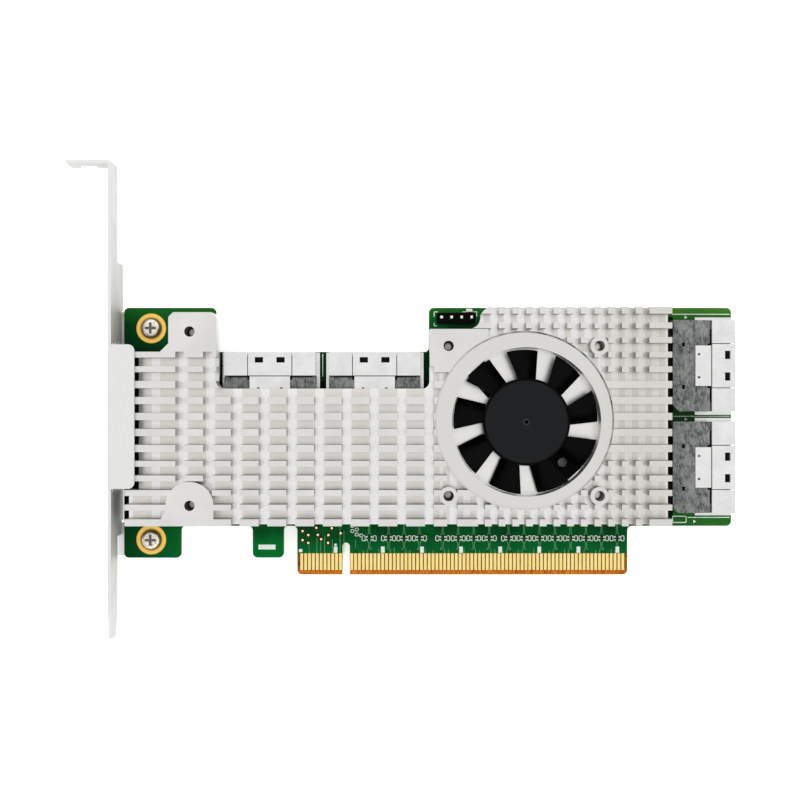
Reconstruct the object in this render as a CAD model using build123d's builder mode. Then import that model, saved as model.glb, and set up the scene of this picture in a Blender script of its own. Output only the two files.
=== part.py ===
from build123d import *
from math import radians, sin, tan
import os

# A switch card for storage drives: a circuit board with an x16 edge, a milled
# heatsink with a sunken fan, four right-angle cable connectors and a slot bracket.
# All lengths are millimetres. The origin is on the board's component face, at the
# centre of the key notch, on the line of the contact edge. +X runs from the
# bracket to the tail, +Y away from the contact edge, +Z towards the component side.

# Circuit board
board_thickness = 1.57
board_top = 68.9
board_left = -57.3
board_right = 99.4
board_lower_edge = 12.6
board_corner = 1.2
ear_right = -33.6
cable_notch_floor = 57.5
cable_notch_right = 21.4
bracket_tab_right = -42.6
bracket_tab_foot = 4.35
small_tab_left = -24.1
small_tab_right = -16.1
small_tab_foot = 4.4

# Contact edge: a short part, the key notch and a long part
contact_pitch = 1.0
contact_width = 0.7
contact_length = 4.3
contact_from_edge = 1.2
contact_thickness = 0.06
short_contacts = 11
long_contacts = 71
key_width = 1.9
key_depth = 8.25
edge_side_land = 0.65
edge_bevel = 0.4

# Heatsink, heights above the component face
sink_top = 13.2
channel_floor = 6.2
sink_underside = 4.2
sink_left = -52.55
sink_right = 82.1
sink_middle_y = 40.97
channel_width = 2.2
inner_channels = 6
inner_pitch = 4.0
outer_channels = 4
outer_pitch = 3.66
edge_fin = 1.75
foot_width = 2.5
foot_upper = 22.53
left_block_upper = 57.2
ear_left = -44.1
ear_upper = 67.1
ear_inner = -32.15
ear_chamfer = 1.2
ear_corner = 2.1
notch_floor = 48.0
notch_corner = 1.8
header_cut_y = 62.9
header_cut_right = 34.4
header_cut_curve = 3.4
header_cut_slope = 1.5
coarse_cut_width = 2.2
coarse_cut_pitch = 6.95
coarse_cut_first = -41.25
coarse_cuts = 10
fine_cut_width = 1.75
fine_cut_pitch = 3.43
fine_cut_last = 75.5
fine_cuts_above = 12
fine_cuts_below = 13
column_cut_x = 27.0
column_cut_width = 2.6
flat_pad_lower = 53.54
flat_pad_right = 36.0
round_pad_radius = 6.0
screw_land_radius = 2.3
boss_diameter = 6.4
sink_hole_diameter = 2.6
relief_ceiling = 5.6
relief_clearance = 0.8

# Fan pocket in the heatsink, and the ring that stands round it
fan_x = 45.6
fan_y = 39.6
ring_x = 45.1
ring_y = 40.0
ring_outer = 44.8
pocket_bore = 37.4
pocket_floor = 6.0

# Heatsink screws, which come up from the solder side
chip_x = 45.0
chip_y = 39.85
chip_screw_spacing_x = 37.8
chip_screw_spacing_y = 37.6
left_screw_x = -38.8
left_screw_upper_y = 62.25
left_screw_lower_y = 18.6
sink_screw_diameter = 2.5
sink_screw_length = 7.6
sink_screw_head = 4.5
sink_screw_head_height = 1.6
board_hole_clearance = 0.15
cross_width = 0.7
cross_share = 0.6
cross_depth = 0.6
crown_share = 0.55

# Switch chip, thermal pad and the pedestal above them
substrate_size = 27.0
substrate_thickness = 1.2
lid_size = 24.0
lid_thickness = 2.1
lid_corner = 1.0
pad_thickness = 0.5
pedestal_size = 28.0

# Slot bracket
sheet = 0.86
bracket_height = 120.02
bracket_width = 18.42
tongue_width = 10.16
bracket_gap = 0.98
bracket_upper_z = 14.2
bracket_tip_y = -14.85
wide_lower_y = 10.3
wide_upper_y = 80.3
top_tab_length = 11.43
tab_notch_width = 4.4
tab_notch_depth = 4.2
tab_notch_from_plate = 4.0
flange_length = 5.8
flange_lower_y = 22.9
flange_upper_y = 59.0
flange_corner = 1.6
tongue_taper = 7.0
tongue_tip_width = 6.2
ear_reach = 12.2
ear_width = 8.6
ear_slit = 0.4
vent_radius = 1.75
vent_pitch = 4.4
vent_columns = 9
vent_rows = 3
vent_middle_z = 7.2

# Bracket screws
bracket_screw_x = -50.3
bracket_screw_upper_y = 63.6
bracket_screw_lower_y = 9.05
bracket_screw_diameter = 2.9
bracket_screw_length = 4.2
bracket_screw_head = 4.8
bracket_screw_head_height = 1.7
bracket_hole_diameter = 3.2
screw_pad_diameter = 7.7
screw_pad_thickness = 0.1
thread_clearance = 0.05

# Cable connectors, each with its mouth at an edge of the board
connector_width = 23.3
connector_height = 5.3
connector_depth = 15.9
housing_corner = 1.6
shell_depth = 6.1
shell_wall = 0.3
shell_foot_width = 0.9
shell_foot_length = 9.5
strap_width = 10.3
strap_length = 4.1
strap_hole_x = 2.95
strap_hole_diameter = 0.7
strap_hole_from_end = 0.9
panel_width = 11.3
panel_rise = 0.15
panel_slit = 0.2
panel_bridge = 0.3
window_x = 2.75
window_width = 2.1
window_length = 1.4
window_from_mouth = 1.3
blade_width = 18.6
blade_thickness = 1.0
blade_middle_z = 2.7
blade_from_mouth = 1.0
blade_contacts = 19
blade_contact_pitch = 0.92
blade_contact_width = 0.5
blade_contact_thickness = 0.05
blade_contact_length = 2.9
blade_contact_from_mouth = 2.9
seam_from_mouth = 10.35
rear_gap = 0.4
rear_gap_depth = 1.6
rear_gap_notch = 1.0
rear_gap_notch_width = 0.6
pocket_from_mouth = 13.25
pocket_y = 5.4
pocket_length = 0.75
pocket_width = 1.05
pocket_depth = 1.2
tail_mouth_x = 99.5
tail_lower_y = 27.9
tail_gap = 2.65
top_mouth_y = 57.35
top_left_x = -19.3
top_gap = 3.45

# Fan, heights above the component face
hub_top = 13.4
hub_diameter = 22.0
hub_wall = 1.3
hub_cap = 0.9
hub_skirt_z = 7.7
hub_edge_round = 0.7
dimple_diameter = 0.9
dimple_depth = 0.3
hub_boss_wall = 0.9
hub_boss_height = 0.5
shaft_in_hub = 0.4
fan_blades = 9
blade_tip_gap = 0.5
blade_lower_z = 7.85
blade_upper_z = 12.3
fan_blade_thickness = 0.7
blade_camber = 0.6
root_chord_angle = 26.0
tip_chord_angle = 27.0
root_angle = 8.0
tip_sweep_angle = 5.5
press_gap = 0.02
yoke_wall = 0.5
magnet_wall = 1.0
magnet_lower_z = 7.9
magnet_upper_z = 11.7
air_gap = 0.45
shaft_diameter = 1.5
shaft_end_z = 6.4
shaft_clearance = 0.05
bearing_wall = 1.05
bearing_lower_z = 7.0
bearing_upper_z = 11.1
tube_wall = 0.6
tube_floor = 0.3
tube_ledge = 0.35
base_thickness = 0.7
base_diameter = 20.6
base_arm_width = 5.6
base_arms = 2
base_arm_angle = 132.4
arm_end_gap = 0.35
base_screw_radius = 14.0
base_screw_diameter = 1.6
base_screw_head = 3.0
base_screw_head_height = 0.6
base_screw_depth = 1.4
fan_board_thickness = 0.5
fan_board_edge = 0.6
stator_height = 2.0
stator_middle_z = 9.4
poles = 6
pole_width = 1.4
core_wall = 1.2
shoe_thickness = 0.8
slot_opening = 1.0
winding_build = 0.7
winding_clear = 0.05
clip_thickness = 0.15
clip_reach = 0.55
groove_depth = 0.25
groove_width = 0.25
groove_from_end = 0.2

# Fan header and the smaller parts on the board
header_x = 28.3
header_y = 66.1
header_pins = 4
header_pitch = 2.54
header_width = 2.8
header_height = 2.5
header_pin_width = 0.64
header_pin_top = 8.4
header_pin_tail = 1.0
header_pin_clearance = 0.05
capacitor_row_y = 9.4
lane_contacts = (16, 21, 25, 29, 35, 39, 43, 47, 52, 56, 60, 64, 68, 72, 76, 80)
capacitor_length = 1.0
capacitor_width = 0.5
capacitor_height = 0.5
capacitor_pair_gap = 1.3
decoupling_pitch = 3.6
decoupling_columns = 6
decoupling_rows = 5
inductor_size = 6.2
inductor_height = 3.0
inductor_x = -22.0
inductor_y = 29.0
inductor_pitch = 8.4
inductors = 3
regulator_size = 5.0
regulator_height = 0.9
regulator_y = 37.2
flash_x = 9.5
flash_y = 27.0
flash_length = 5.0
flash_width = 4.0
flash_height = 1.7
oscillator_x = 9.5
oscillator_y = 36.0
oscillator_length = 3.2
oscillator_width = 2.5
oscillator_height = 0.9
light_x = 31.8
light_y = 68.2
light_length = 1.6
light_width = 0.8
light_height = 0.6

# Sizes that follow from the ones above
board_back = -board_thickness
edge_left = -key_width / 2 - short_contacts * contact_pitch - edge_side_land
edge_right = key_width / 2 + long_contacts * contact_pitch + edge_side_land
channel_steps = [(i + 0.5) * inner_pitch for i in range(inner_channels // 2)]
channel_steps += [channel_steps[-1] + (i + 1) * outer_pitch for i in range(outer_channels)]
channel_ys = [sink_middle_y + side * step for step in channel_steps for side in (-1, 1)]
sink_height_y = 2 * channel_steps[-1] + channel_width + 2 * edge_fin
sink_lower = sink_middle_y - sink_height_y / 2
sink_upper = sink_middle_y + sink_height_y / 2
coarse_cut_xs = [coarse_cut_first + i * coarse_cut_pitch for i in range(coarse_cuts)]
fine_cut_clear = (inner_channels - 1) * inner_pitch / 2
fine_cut_length = sink_height_y / 2 - fine_cut_clear
pedestal_z = substrate_thickness + lid_thickness + pad_thickness
bracket_inner_x = board_left - bracket_gap
bracket_outer_x = bracket_inner_x - sheet
bracket_lower_z = bracket_upper_z - bracket_width
tongue_lower_z = bracket_upper_z - tongue_width
tongue_middle_z = bracket_upper_z - tongue_width / 2
bracket_top_y = bracket_tip_y + bracket_height
housing_height = connector_height - shell_wall
tail_upper_y = tail_lower_y + connector_width + tail_gap
top_right_x = top_left_x + connector_width + top_gap
hub_radius = hub_diameter / 2
hub_inner_radius = hub_radius - hub_wall
yoke_radius = hub_inner_radius - press_gap
magnet_radius = yoke_radius - yoke_wall - press_gap
stator_radius = magnet_radius - magnet_wall - air_gap
shaft_radius = shaft_diameter / 2
bearing_radius = shaft_radius + shaft_clearance + bearing_wall
tube_bore_radius = bearing_radius + press_gap
tube_radius = tube_bore_radius + tube_wall
tip_radius = pocket_bore / 2 - blade_tip_gap
hub_cap_z = hub_top - hub_cap
base_top = pocket_floor + base_thickness
fan_axis = Location((fan_x, fan_y, 0))
chip_screws_at = [
    (chip_x + side * chip_screw_spacing_x / 2, chip_y + end * chip_screw_spacing_y / 2)
    for side in (-1, 1)
    for end in (-1, 1)
]
sink_screws_at = [
    (left_screw_x, left_screw_upper_y),
    (left_screw_x, left_screw_lower_y),
    *chip_screws_at,
]
bracket_screws_at = [
    (bracket_screw_x, bracket_screw_upper_y),
    (bracket_screw_x, bracket_screw_lower_y),
]

pieces = {}


def edge_rectangle(x0, x1, y0, y1, mode=Mode.ADD):
    """A rectangle in the sketch, given by its edges."""
    with Locations(((x0 + x1) / 2, (y0 + y1) / 2)):
        Rectangle(x1 - x0, y1 - y0, mode=mode)


def chip_body(x, y, z, length, width, height, edge):
    """A small moulded part on the board, with its upper edges broken."""
    with BuildPart() as body:
        with BuildSketch(Plane.XY.offset(z)):
            with Locations((x, y)):
                Rectangle(length, width)
        extrude(amount=height)
        chamfer(body.edges().group_by(Axis.Z)[-1], edge)
    return body


def pan_screw(head, head_height, shank, length, domed=False):
    """A pan-head screw with a cross recess, standing on its seat with its head up."""
    with BuildPart() as screw:
        with BuildSketch():
            Circle(head / 2)
        extrude(amount=head_height)
        ease = fillet if domed else chamfer
        ease(screw.edges().group_by(Axis.Z)[-1], head_height * crown_share)
        with BuildSketch(Plane.XY.offset(head_height)):
            Rectangle(head * cross_share, cross_width)
            Rectangle(cross_width, head * cross_share)
        extrude(amount=-cross_depth, mode=Mode.SUBTRACT)
        with BuildSketch():
            Circle(shank / 2)
        extrude(amount=-length)
    return screw


# Circuit board
with BuildPart() as board:
    with BuildSketch(Plane.XY.offset(board_back)) as board_outline:
        edge_rectangle(board_left, board_right, board_lower_edge, board_top)
        edge_rectangle(ear_right, cable_notch_right, cable_notch_floor, board_top, Mode.SUBTRACT)
        edge_rectangle(board_left, bracket_tab_right, bracket_tab_foot, board_lower_edge)
        edge_rectangle(small_tab_left, small_tab_right, small_tab_foot, board_lower_edge)
        edge_rectangle(edge_left, edge_right, 0, board_lower_edge)
        fillet(board_outline.vertices(), board_corner)
        edge_rectangle(-key_width / 2, key_width / 2, 0, key_depth - key_width / 2, Mode.SUBTRACT)
        with Locations((0, key_depth - key_width / 2)):
            Circle(key_width / 2, mode=Mode.SUBTRACT)
    extrude(amount=board_thickness)
    with BuildSketch(Plane.YZ):
        Polygon((0, 0), (0, -edge_bevel), (contact_from_edge, 0), align=None)
        Polygon(
            (0, board_back), (contact_from_edge, board_back), (0, board_back + edge_bevel), align=None
        )
    extrude(amount=board_right, both=True, mode=Mode.SUBTRACT)
    with Locations(*sink_screws_at):
        Hole(sink_screw_diameter / 2 + board_hole_clearance)
    with Locations(*bracket_screws_at):
        Hole(bracket_hole_diameter / 2)
    with Locations((header_x, header_y)):
        with GridLocations(header_pitch, header_pitch, header_pins, 1):
            Hole(header_pin_width * 0.71 + header_pin_clearance)
pieces["circuit_board"] = board


# Gold contacts on both faces of the edge
def edge_contacts(lower_z):
    """One row of flat contacts whose lower face is at lower_z."""
    xs = [-key_width / 2 - (i + 0.5) * contact_pitch for i in range(short_contacts)]
    xs += [key_width / 2 + (i + 0.5) * contact_pitch for i in range(long_contacts)]
    with BuildPart() as row:
        with BuildSketch(Plane.XY.offset(lower_z)):
            with Locations(*[(x, contact_from_edge + contact_length / 2) for x in xs]):
                Rectangle(contact_width, contact_length)
        extrude(amount=contact_thickness)
    return row


pieces["edge_contacts_front"] = edge_contacts(0)
pieces["edge_contacts_back"] = edge_contacts(board_back - contact_thickness)


# Milled heatsink: its outline, the lands that stay uncut, and the cuts between fins
with BuildSketch() as cable_notch:
    edge_rectangle(ear_inner, cable_notch_right, notch_floor, sink_upper + outer_pitch)
    fillet(cable_notch.vertices().group_by(Axis.Y)[0], notch_corner)

with BuildSketch() as header_cut:
    edge_rectangle(ear_inner, header_cut_right, header_cut_y, sink_upper + outer_pitch)
    fillet(header_cut.vertices().group_by(Axis.Y)[0].sort_by(Axis.X)[-1:], header_cut_curve)
    Polygon(
        (header_cut_right, sink_upper - header_cut_slope),
        (header_cut_right + header_cut_slope, sink_upper),
        (header_cut_right, sink_upper),
        align=None,
    )

with BuildSketch() as sink_outline:
    edge_rectangle(sink_left, sink_right, sink_lower, sink_upper)
    edge_rectangle(sink_left - foot_width, sink_left, sink_lower, foot_upper)
    add(header_cut.sketch, mode=Mode.SUBTRACT)
    add(cable_notch.sketch, mode=Mode.SUBTRACT)
    edge_rectangle(sink_left, ear_left, left_block_upper, sink_upper, Mode.SUBTRACT)
    edge_rectangle(ear_left, ear_inner, ear_upper, sink_upper, Mode.SUBTRACT)
    Polygon(
        (ear_left - ear_corner, left_block_upper),
        (ear_left, left_block_upper),
        (ear_left, left_block_upper + ear_corner),
        align=None,
    )
    chamfer(
        sink_outline.vertices().filter_by_position(Axis.Y, ear_upper - 0.01, ear_upper + 0.01), ear_chamfer
    )

with BuildSketch() as lands:
    with Locations((ring_x, ring_y)):
        Circle(ring_outer / 2)
    with Locations(*chip_screws_at):
        Circle(screw_land_radius)
    edge_rectangle(ear_left - ear_corner, ear_inner, left_block_upper, sink_upper)
    edge_rectangle(cable_notch_right, flat_pad_right, flat_pad_lower, header_cut_y)
    with Locations((left_screw_x, left_screw_lower_y)):
        Circle(round_pad_radius)
    edge_rectangle(
        left_screw_x - round_pad_radius, left_screw_x + round_pad_radius, sink_lower, left_screw_lower_y
    )
    Polygon(
        (left_screw_x - round_pad_radius, sink_lower),
        (left_screw_x - round_pad_radius - ear_corner, sink_lower),
        (left_screw_x - round_pad_radius, sink_lower + 2 * ear_corner),
        align=None,
    )

with BuildPart() as heatsink:
    with BuildSketch(Plane.XY.offset(sink_underside)):
        add(sink_outline.sketch)
    extrude(amount=sink_top - sink_underside)
    with BuildSketch(Plane.XY.offset(sink_top)):
        with Locations(*[((sink_left + sink_right) / 2, y) for y in channel_ys]):
            Rectangle(sink_right - sink_left + 2 * foot_width, channel_width)
        with Locations(*[(x, sink_middle_y) for x in coarse_cut_xs]):
            Rectangle(coarse_cut_width, sink_height_y)
        with Locations((column_cut_x, (sink_lower + chip_y) / 2)):
            Rectangle(column_cut_width, chip_y - sink_lower)
        for side, cuts in ((1, fine_cuts_above), (-1, fine_cuts_below)):
            y = sink_middle_y + side * (fine_cut_clear + fine_cut_length / 2)
            with Locations(*[(fine_cut_last - i * fine_cut_pitch, y) for i in range(cuts)]):
                Rectangle(fine_cut_width, fine_cut_length)
        add(lands.sketch, mode=Mode.SUBTRACT)
    extrude(amount=channel_floor - sink_top, mode=Mode.SUBTRACT)
    with BuildSketch(Plane.XY.offset(pocket_floor)):
        with Locations((fan_x, fan_y)):
            Circle(pocket_bore / 2)
    extrude(amount=sink_top - pocket_floor, mode=Mode.SUBTRACT)
    with BuildSketch(Plane.XY.offset(sink_underside)):
        edge_rectangle(
            top_left_x - connector_width / 2 - shell_foot_width - relief_clearance,
            top_right_x + connector_width / 2 + shell_foot_width + relief_clearance,
            top_mouth_y - connector_depth - relief_clearance,
            notch_floor + notch_corner,
        )
    extrude(amount=relief_ceiling - sink_underside, mode=Mode.SUBTRACT)
    with BuildSketch(Plane.XY.offset(pedestal_z)):
        with Locations((chip_x, chip_y)):
            Rectangle(pedestal_size, pedestal_size)
    extrude(amount=sink_underside - pedestal_z)
    with BuildSketch(Plane.XY):
        with Locations(*sink_screws_at):
            Circle(boss_diameter / 2)
    extrude(amount=sink_underside)
    with Locations(*[(x, y, sink_top) for x, y in sink_screws_at]):
        Hole(sink_hole_diameter / 2)
    with Locations((fan_x, fan_y, pocket_floor)):
        with PolarLocations(base_screw_radius, base_arms, start_angle=base_arm_angle):
            Hole(base_screw_diameter / 2 + thread_clearance, depth=base_screw_depth)
pieces["heatsink"] = heatsink


# Heatsink screws, heads on the solder side
sink_screw = pan_screw(sink_screw_head, sink_screw_head_height, sink_screw_diameter, sink_screw_length)
with BuildPart() as heatsink_screws:
    with Locations(*[Location((x, y, board_back), (180, 0, 0)) for x, y in sink_screws_at]):
        add(sink_screw.part)
pieces["heatsink_screws"] = heatsink_screws


# Switch chip under the fan, with its lid and the pad that carries its heat
with BuildPart() as chip_substrate:
    with BuildSketch():
        with Locations((chip_x, chip_y)):
            Rectangle(substrate_size, substrate_size)
    extrude(amount=substrate_thickness)
pieces["switch_chip_substrate"] = chip_substrate

with BuildPart() as chip_lid:
    with BuildSketch(Plane.XY.offset(substrate_thickness)):
        with Locations((chip_x, chip_y)):
            RectangleRounded(lid_size, lid_size, lid_corner)
    extrude(amount=lid_thickness)
    chamfer(chip_lid.edges().group_by(Axis.Z)[-1], lid_corner / 4)
pieces["switch_chip_lid"] = chip_lid

with BuildPart() as thermal_pad:
    with BuildSketch(Plane.XY.offset(pedestal_z - pad_thickness)):
        with Locations((chip_x, chip_y)):
            Rectangle(lid_size - lid_corner, lid_size - lid_corner)
    extrude(amount=pad_thickness)
pieces["thermal_pad"] = thermal_pad


# Slot bracket, folded from one sheet
with BuildPart() as bracket:
    with BuildSketch(Plane.YZ.offset(bracket_outer_x)):
        edge_rectangle(wide_lower_y, wide_upper_y, bracket_lower_z, bracket_upper_z)
        edge_rectangle(wide_upper_y, bracket_top_y, tongue_lower_z, bracket_upper_z)
        Polygon(
            (wide_lower_y, tongue_lower_z),
            (wide_lower_y, bracket_upper_z),
            (bracket_tip_y + tongue_taper, bracket_upper_z),
            (bracket_tip_y, tongue_middle_z + tongue_tip_width / 2),
            (bracket_tip_y, tongue_middle_z - tongue_tip_width / 2),
            (bracket_tip_y + tongue_taper, tongue_lower_z),
            align=None,
        )
        for x, y in bracket_screws_at:
            edge_rectangle(
                y - ear_width / 2 - ear_slit,
                y + ear_width / 2 + ear_slit,
                bracket_lower_z,
                board_back - sheet,
                Mode.SUBTRACT,
            )
        with Locations(((flange_lower_y + flange_upper_y) / 2, vent_middle_z)):
            with GridLocations(vent_pitch, vent_pitch, vent_columns, vent_rows):
                RegularPolygon(vent_radius, 6, mode=Mode.SUBTRACT)
    extrude(amount=sheet)
    with BuildSketch(Plane.XY.offset(tongue_lower_z)):
        edge_rectangle(
            bracket_inner_x - top_tab_length, bracket_inner_x, bracket_top_y - sheet, bracket_top_y
        )
    extrude(amount=tongue_width)
    fillet(bracket.edges().filter_by(Axis.Z).group_by(Axis.Y)[-1].sort_by(Axis.X)[-1], sheet * 0.9)
    with BuildSketch(Plane.XY.offset(tongue_lower_z)):
        edge_rectangle(
            bracket_outer_x - tab_notch_from_plate - tab_notch_width,
            bracket_outer_x - tab_notch_from_plate,
            bracket_top_y - 2 * sheet,
            bracket_top_y + sheet,
        )
    extrude(amount=tab_notch_depth, mode=Mode.SUBTRACT)
    with BuildSketch(Plane.XY.offset(bracket_upper_z - sheet)) as flange:
        edge_rectangle(
            bracket_outer_x, bracket_inner_x + flange_length, flange_lower_y, flange_upper_y
        )
        fillet(flange.vertices().group_by(Axis.X)[-1], flange_corner)
    extrude(amount=sheet)
    with BuildSketch(Plane.XY.offset(board_back - sheet)) as ears:
        for x, y in bracket_screws_at:
            edge_rectangle(
                bracket_outer_x, bracket_inner_x + ear_reach, y - ear_width / 2, y + ear_width / 2
            )
        fillet(ears.vertices().group_by(Axis.X)[-1], flange_corner)
        with Locations(*bracket_screws_at):
            Circle(bracket_screw_diameter / 2 + thread_clearance, mode=Mode.SUBTRACT)
    extrude(amount=sheet)
pieces["bracket"] = bracket

bracket_screw = pan_screw(
    bracket_screw_head, bracket_screw_head_height, bracket_screw_diameter, bracket_screw_length, domed=True
)
with BuildPart() as bracket_screws:
    with Locations(*[(x, y, screw_pad_thickness) for x, y in bracket_screws_at]):
        add(bracket_screw.part)
pieces["bracket_screws"] = bracket_screws

with BuildPart() as screw_pads:
    with BuildSketch():
        with Locations(*bracket_screws_at):
            Circle(screw_pad_diameter / 2)
            Circle(bracket_hole_diameter / 2, mode=Mode.SUBTRACT)
    extrude(amount=screw_pad_thickness)
pieces["bracket_screw_pads"] = screw_pads


# Cable connector, built with its mouth at x = 0 facing +X
with BuildPart() as housing:
    with BuildSketch() as housing_outline:
        edge_rectangle(-connector_depth, -shell_depth, -connector_width / 2, connector_width / 2)
        chamfer(housing_outline.vertices().group_by(Axis.X)[0].sort_by(Axis.Y)[0], housing_corner)
    extrude(amount=housing_height)
    with BuildSketch(Plane.XY.offset(housing_height)) as rear_block:
        edge_rectangle(-connector_depth, -seam_from_mouth, -connector_width / 2, connector_width / 2)
        chamfer(rear_block.vertices().group_by(Axis.X)[0].sort_by(Axis.Y)[0], housing_corner)
    extrude(amount=shell_wall)
    with BuildSketch(Plane.XY.offset(connector_height)):
        with Locations((-pocket_from_mouth, pocket_y), (-pocket_from_mouth, -pocket_y)):
            Rectangle(pocket_length, pocket_width)
    extrude(amount=-pocket_depth, mode=Mode.SUBTRACT)
    with BuildSketch(Plane.XY.offset(housing_height)):
        edge_rectangle(-shell_depth - rear_gap, -shell_depth, -connector_width / 2, connector_width / 2)
        edge_rectangle(
            -shell_depth - rear_gap_notch,
            -shell_depth,
            -strap_width / 2 - rear_gap_notch_width,
            strap_width / 2 + rear_gap_notch_width,
        )
        edge_rectangle(
            -shell_depth - rear_gap_notch, -shell_depth, -strap_width / 2, strap_width / 2, Mode.SUBTRACT
        )
    extrude(amount=-rear_gap_depth, mode=Mode.SUBTRACT)
    with BuildSketch(Plane.XY.offset(blade_middle_z - blade_thickness / 2)):
        edge_rectangle(-shell_depth, -blade_from_mouth, -blade_width / 2, blade_width / 2)
    extrude(amount=blade_thickness)

with BuildPart() as shell:
    with BuildSketch(Plane.YZ.offset(-shell_depth)):
        with Locations((0, connector_height / 2)):
            Rectangle(connector_width, connector_height)
            Rectangle(
                connector_width - 2 * shell_wall, connector_height - 2 * shell_wall, mode=Mode.SUBTRACT
            )
    extrude(amount=shell_depth)
    with BuildSketch():
        for side in (-1, 1):
            with Locations(
                (-shell_foot_length / 2, side * (connector_width + shell_foot_width) / 2)
            ):
                Rectangle(shell_foot_length, shell_foot_width)
    extrude(amount=shell_wall)
    with BuildSketch(Plane.XY.offset(housing_height)):
        edge_rectangle(-shell_depth - strap_length, -shell_depth, -strap_width / 2, strap_width / 2)
        for side in (-1, 1):
            with Locations((strap_hole_from_end - shell_depth - strap_length, side * strap_hole_x)):
                Circle(strap_hole_diameter / 2, mode=Mode.SUBTRACT)
    extrude(amount=shell_wall)
    with BuildSketch(Plane.XY.offset(connector_height)):
        edge_rectangle(-shell_depth, 0, -panel_width / 2, panel_width / 2)
    extrude(amount=panel_rise)
    with BuildSketch(Plane.XY.offset(connector_height + panel_rise)):
        for side in (-1, 1):
            with Locations((-window_from_mouth - window_length / 2, side * window_x)):
                Rectangle(window_length, window_width)
            with Locations(((-shell_depth - panel_bridge) / 2, side * panel_width / 2)):
                Rectangle(shell_depth - panel_bridge, panel_slit)
    extrude(amount=-panel_rise - shell_wall, mode=Mode.SUBTRACT)

with BuildPart() as blade_contact_rows:
    for lower_z in (
        blade_middle_z + blade_thickness / 2,
        blade_middle_z - blade_thickness / 2 - blade_contact_thickness,
    ):
        with BuildSketch(Plane.XY.offset(lower_z)):
            with Locations((-blade_contact_from_mouth - blade_contact_length / 2, 0)):
                with GridLocations(1, blade_contact_pitch, 1, blade_contacts):
                    Rectangle(blade_contact_length, blade_contact_width)
        extrude(amount=blade_contact_thickness)

connector_places = [
    Location((top_left_x, top_mouth_y, 0), (0, 0, 90)),
    Location((top_right_x, top_mouth_y, 0), (0, 0, 90)),
    Location((tail_mouth_x, tail_upper_y, 0)),
    Location((tail_mouth_x, tail_lower_y, 0)),
]


def placed(piece, place):
    """A copy of a finished piece at its place on the card."""
    with BuildPart() as copy:
        with Locations(place):
            add(piece.part)
    return copy


for number, place in enumerate(connector_places, start=1):
    pieces[f"connector_housing_{number}"] = placed(housing, place)
    pieces[f"connector_shell_{number}"] = placed(shell, place)
    pieces[f"connector_contacts_{number}"] = placed(blade_contact_rows, place)


# Fan impeller, built about its own axis: a hub cup and twisted, swept blades
def blade_section(radius, chord_angle, sweep_angle):
    """A thin cambered section across a blade, at one radius from the axis."""
    chord = 2 * radius * sin(radians(chord_angle / 2))
    shift = radius * tan(radians(sweep_angle))
    rise = (blade_upper_z - blade_lower_z - fan_blade_thickness) / 2
    middle_z = (blade_upper_z + blade_lower_z) / 2
    tail = Vector(shift - chord / 2, -rise - fan_blade_thickness / 2)
    nose = Vector(shift + chord / 2, rise - fan_blade_thickness / 2)
    bow = Vector(shift - blade_camber / 2, blade_camber - fan_blade_thickness / 2)
    lift = Vector(0, fan_blade_thickness)
    plane = Plane(origin=(radius, 0, middle_z), x_dir=(0, 1, 0), z_dir=(1, 0, 0))
    with BuildSketch(plane) as section:
        with BuildLine():
            ThreePointArc(tail, bow, nose)
            Line(nose, nose + lift)
            ThreePointArc(nose + lift, bow + lift, tail + lift)
            Line(tail + lift, tail)
        make_face()
    return section


with BuildPart() as blade:
    add(blade_section(hub_radius - hub_wall / 2, root_chord_angle, 0).sketch)
    add(blade_section(tip_radius + blade_tip_gap, tip_chord_angle, tip_sweep_angle).sketch)
    loft()
    with BuildSketch():
        Circle(tip_radius)
    extrude(amount=sink_top, mode=Mode.INTERSECT)

with BuildPart() as impeller:
    with BuildSketch(Plane.XZ):
        with BuildLine():
            Polyline(
                (0, hub_top),
                (hub_radius, hub_top),
                (hub_radius, hub_skirt_z),
                (hub_inner_radius, hub_skirt_z),
                (hub_inner_radius, hub_cap_z),
                (shaft_radius + hub_boss_wall, hub_cap_z),
                (shaft_radius + hub_boss_wall, hub_cap_z - hub_boss_height),
                (shaft_radius + press_gap, hub_cap_z - hub_boss_height),
                (shaft_radius + press_gap, hub_top - shaft_in_hub),
                (0, hub_top - shaft_in_hub),
                close=True,
            )
        make_face()
    revolve(axis=Axis.Z)
    fillet(impeller.edges().group_by(Axis.Z)[-1], hub_edge_round)
    with Locations((0, 0, hub_top)):
        Hole(dimple_diameter / 2, depth=dimple_depth)
    with PolarLocations(0, fan_blades, start_angle=root_angle):
        add(blade.part)
pieces["fan_impeller"] = placed(impeller, fan_axis)


def sleeve(outer, inner, lower_z, upper_z):
    """A plain tube about the fan's axis."""
    with BuildPart() as tube:
        with BuildSketch(Plane.XY.offset(lower_z)):
            Circle(outer)
            Circle(inner, mode=Mode.SUBTRACT)
        extrude(amount=upper_z - lower_z)
    return placed(tube, fan_axis)


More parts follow.
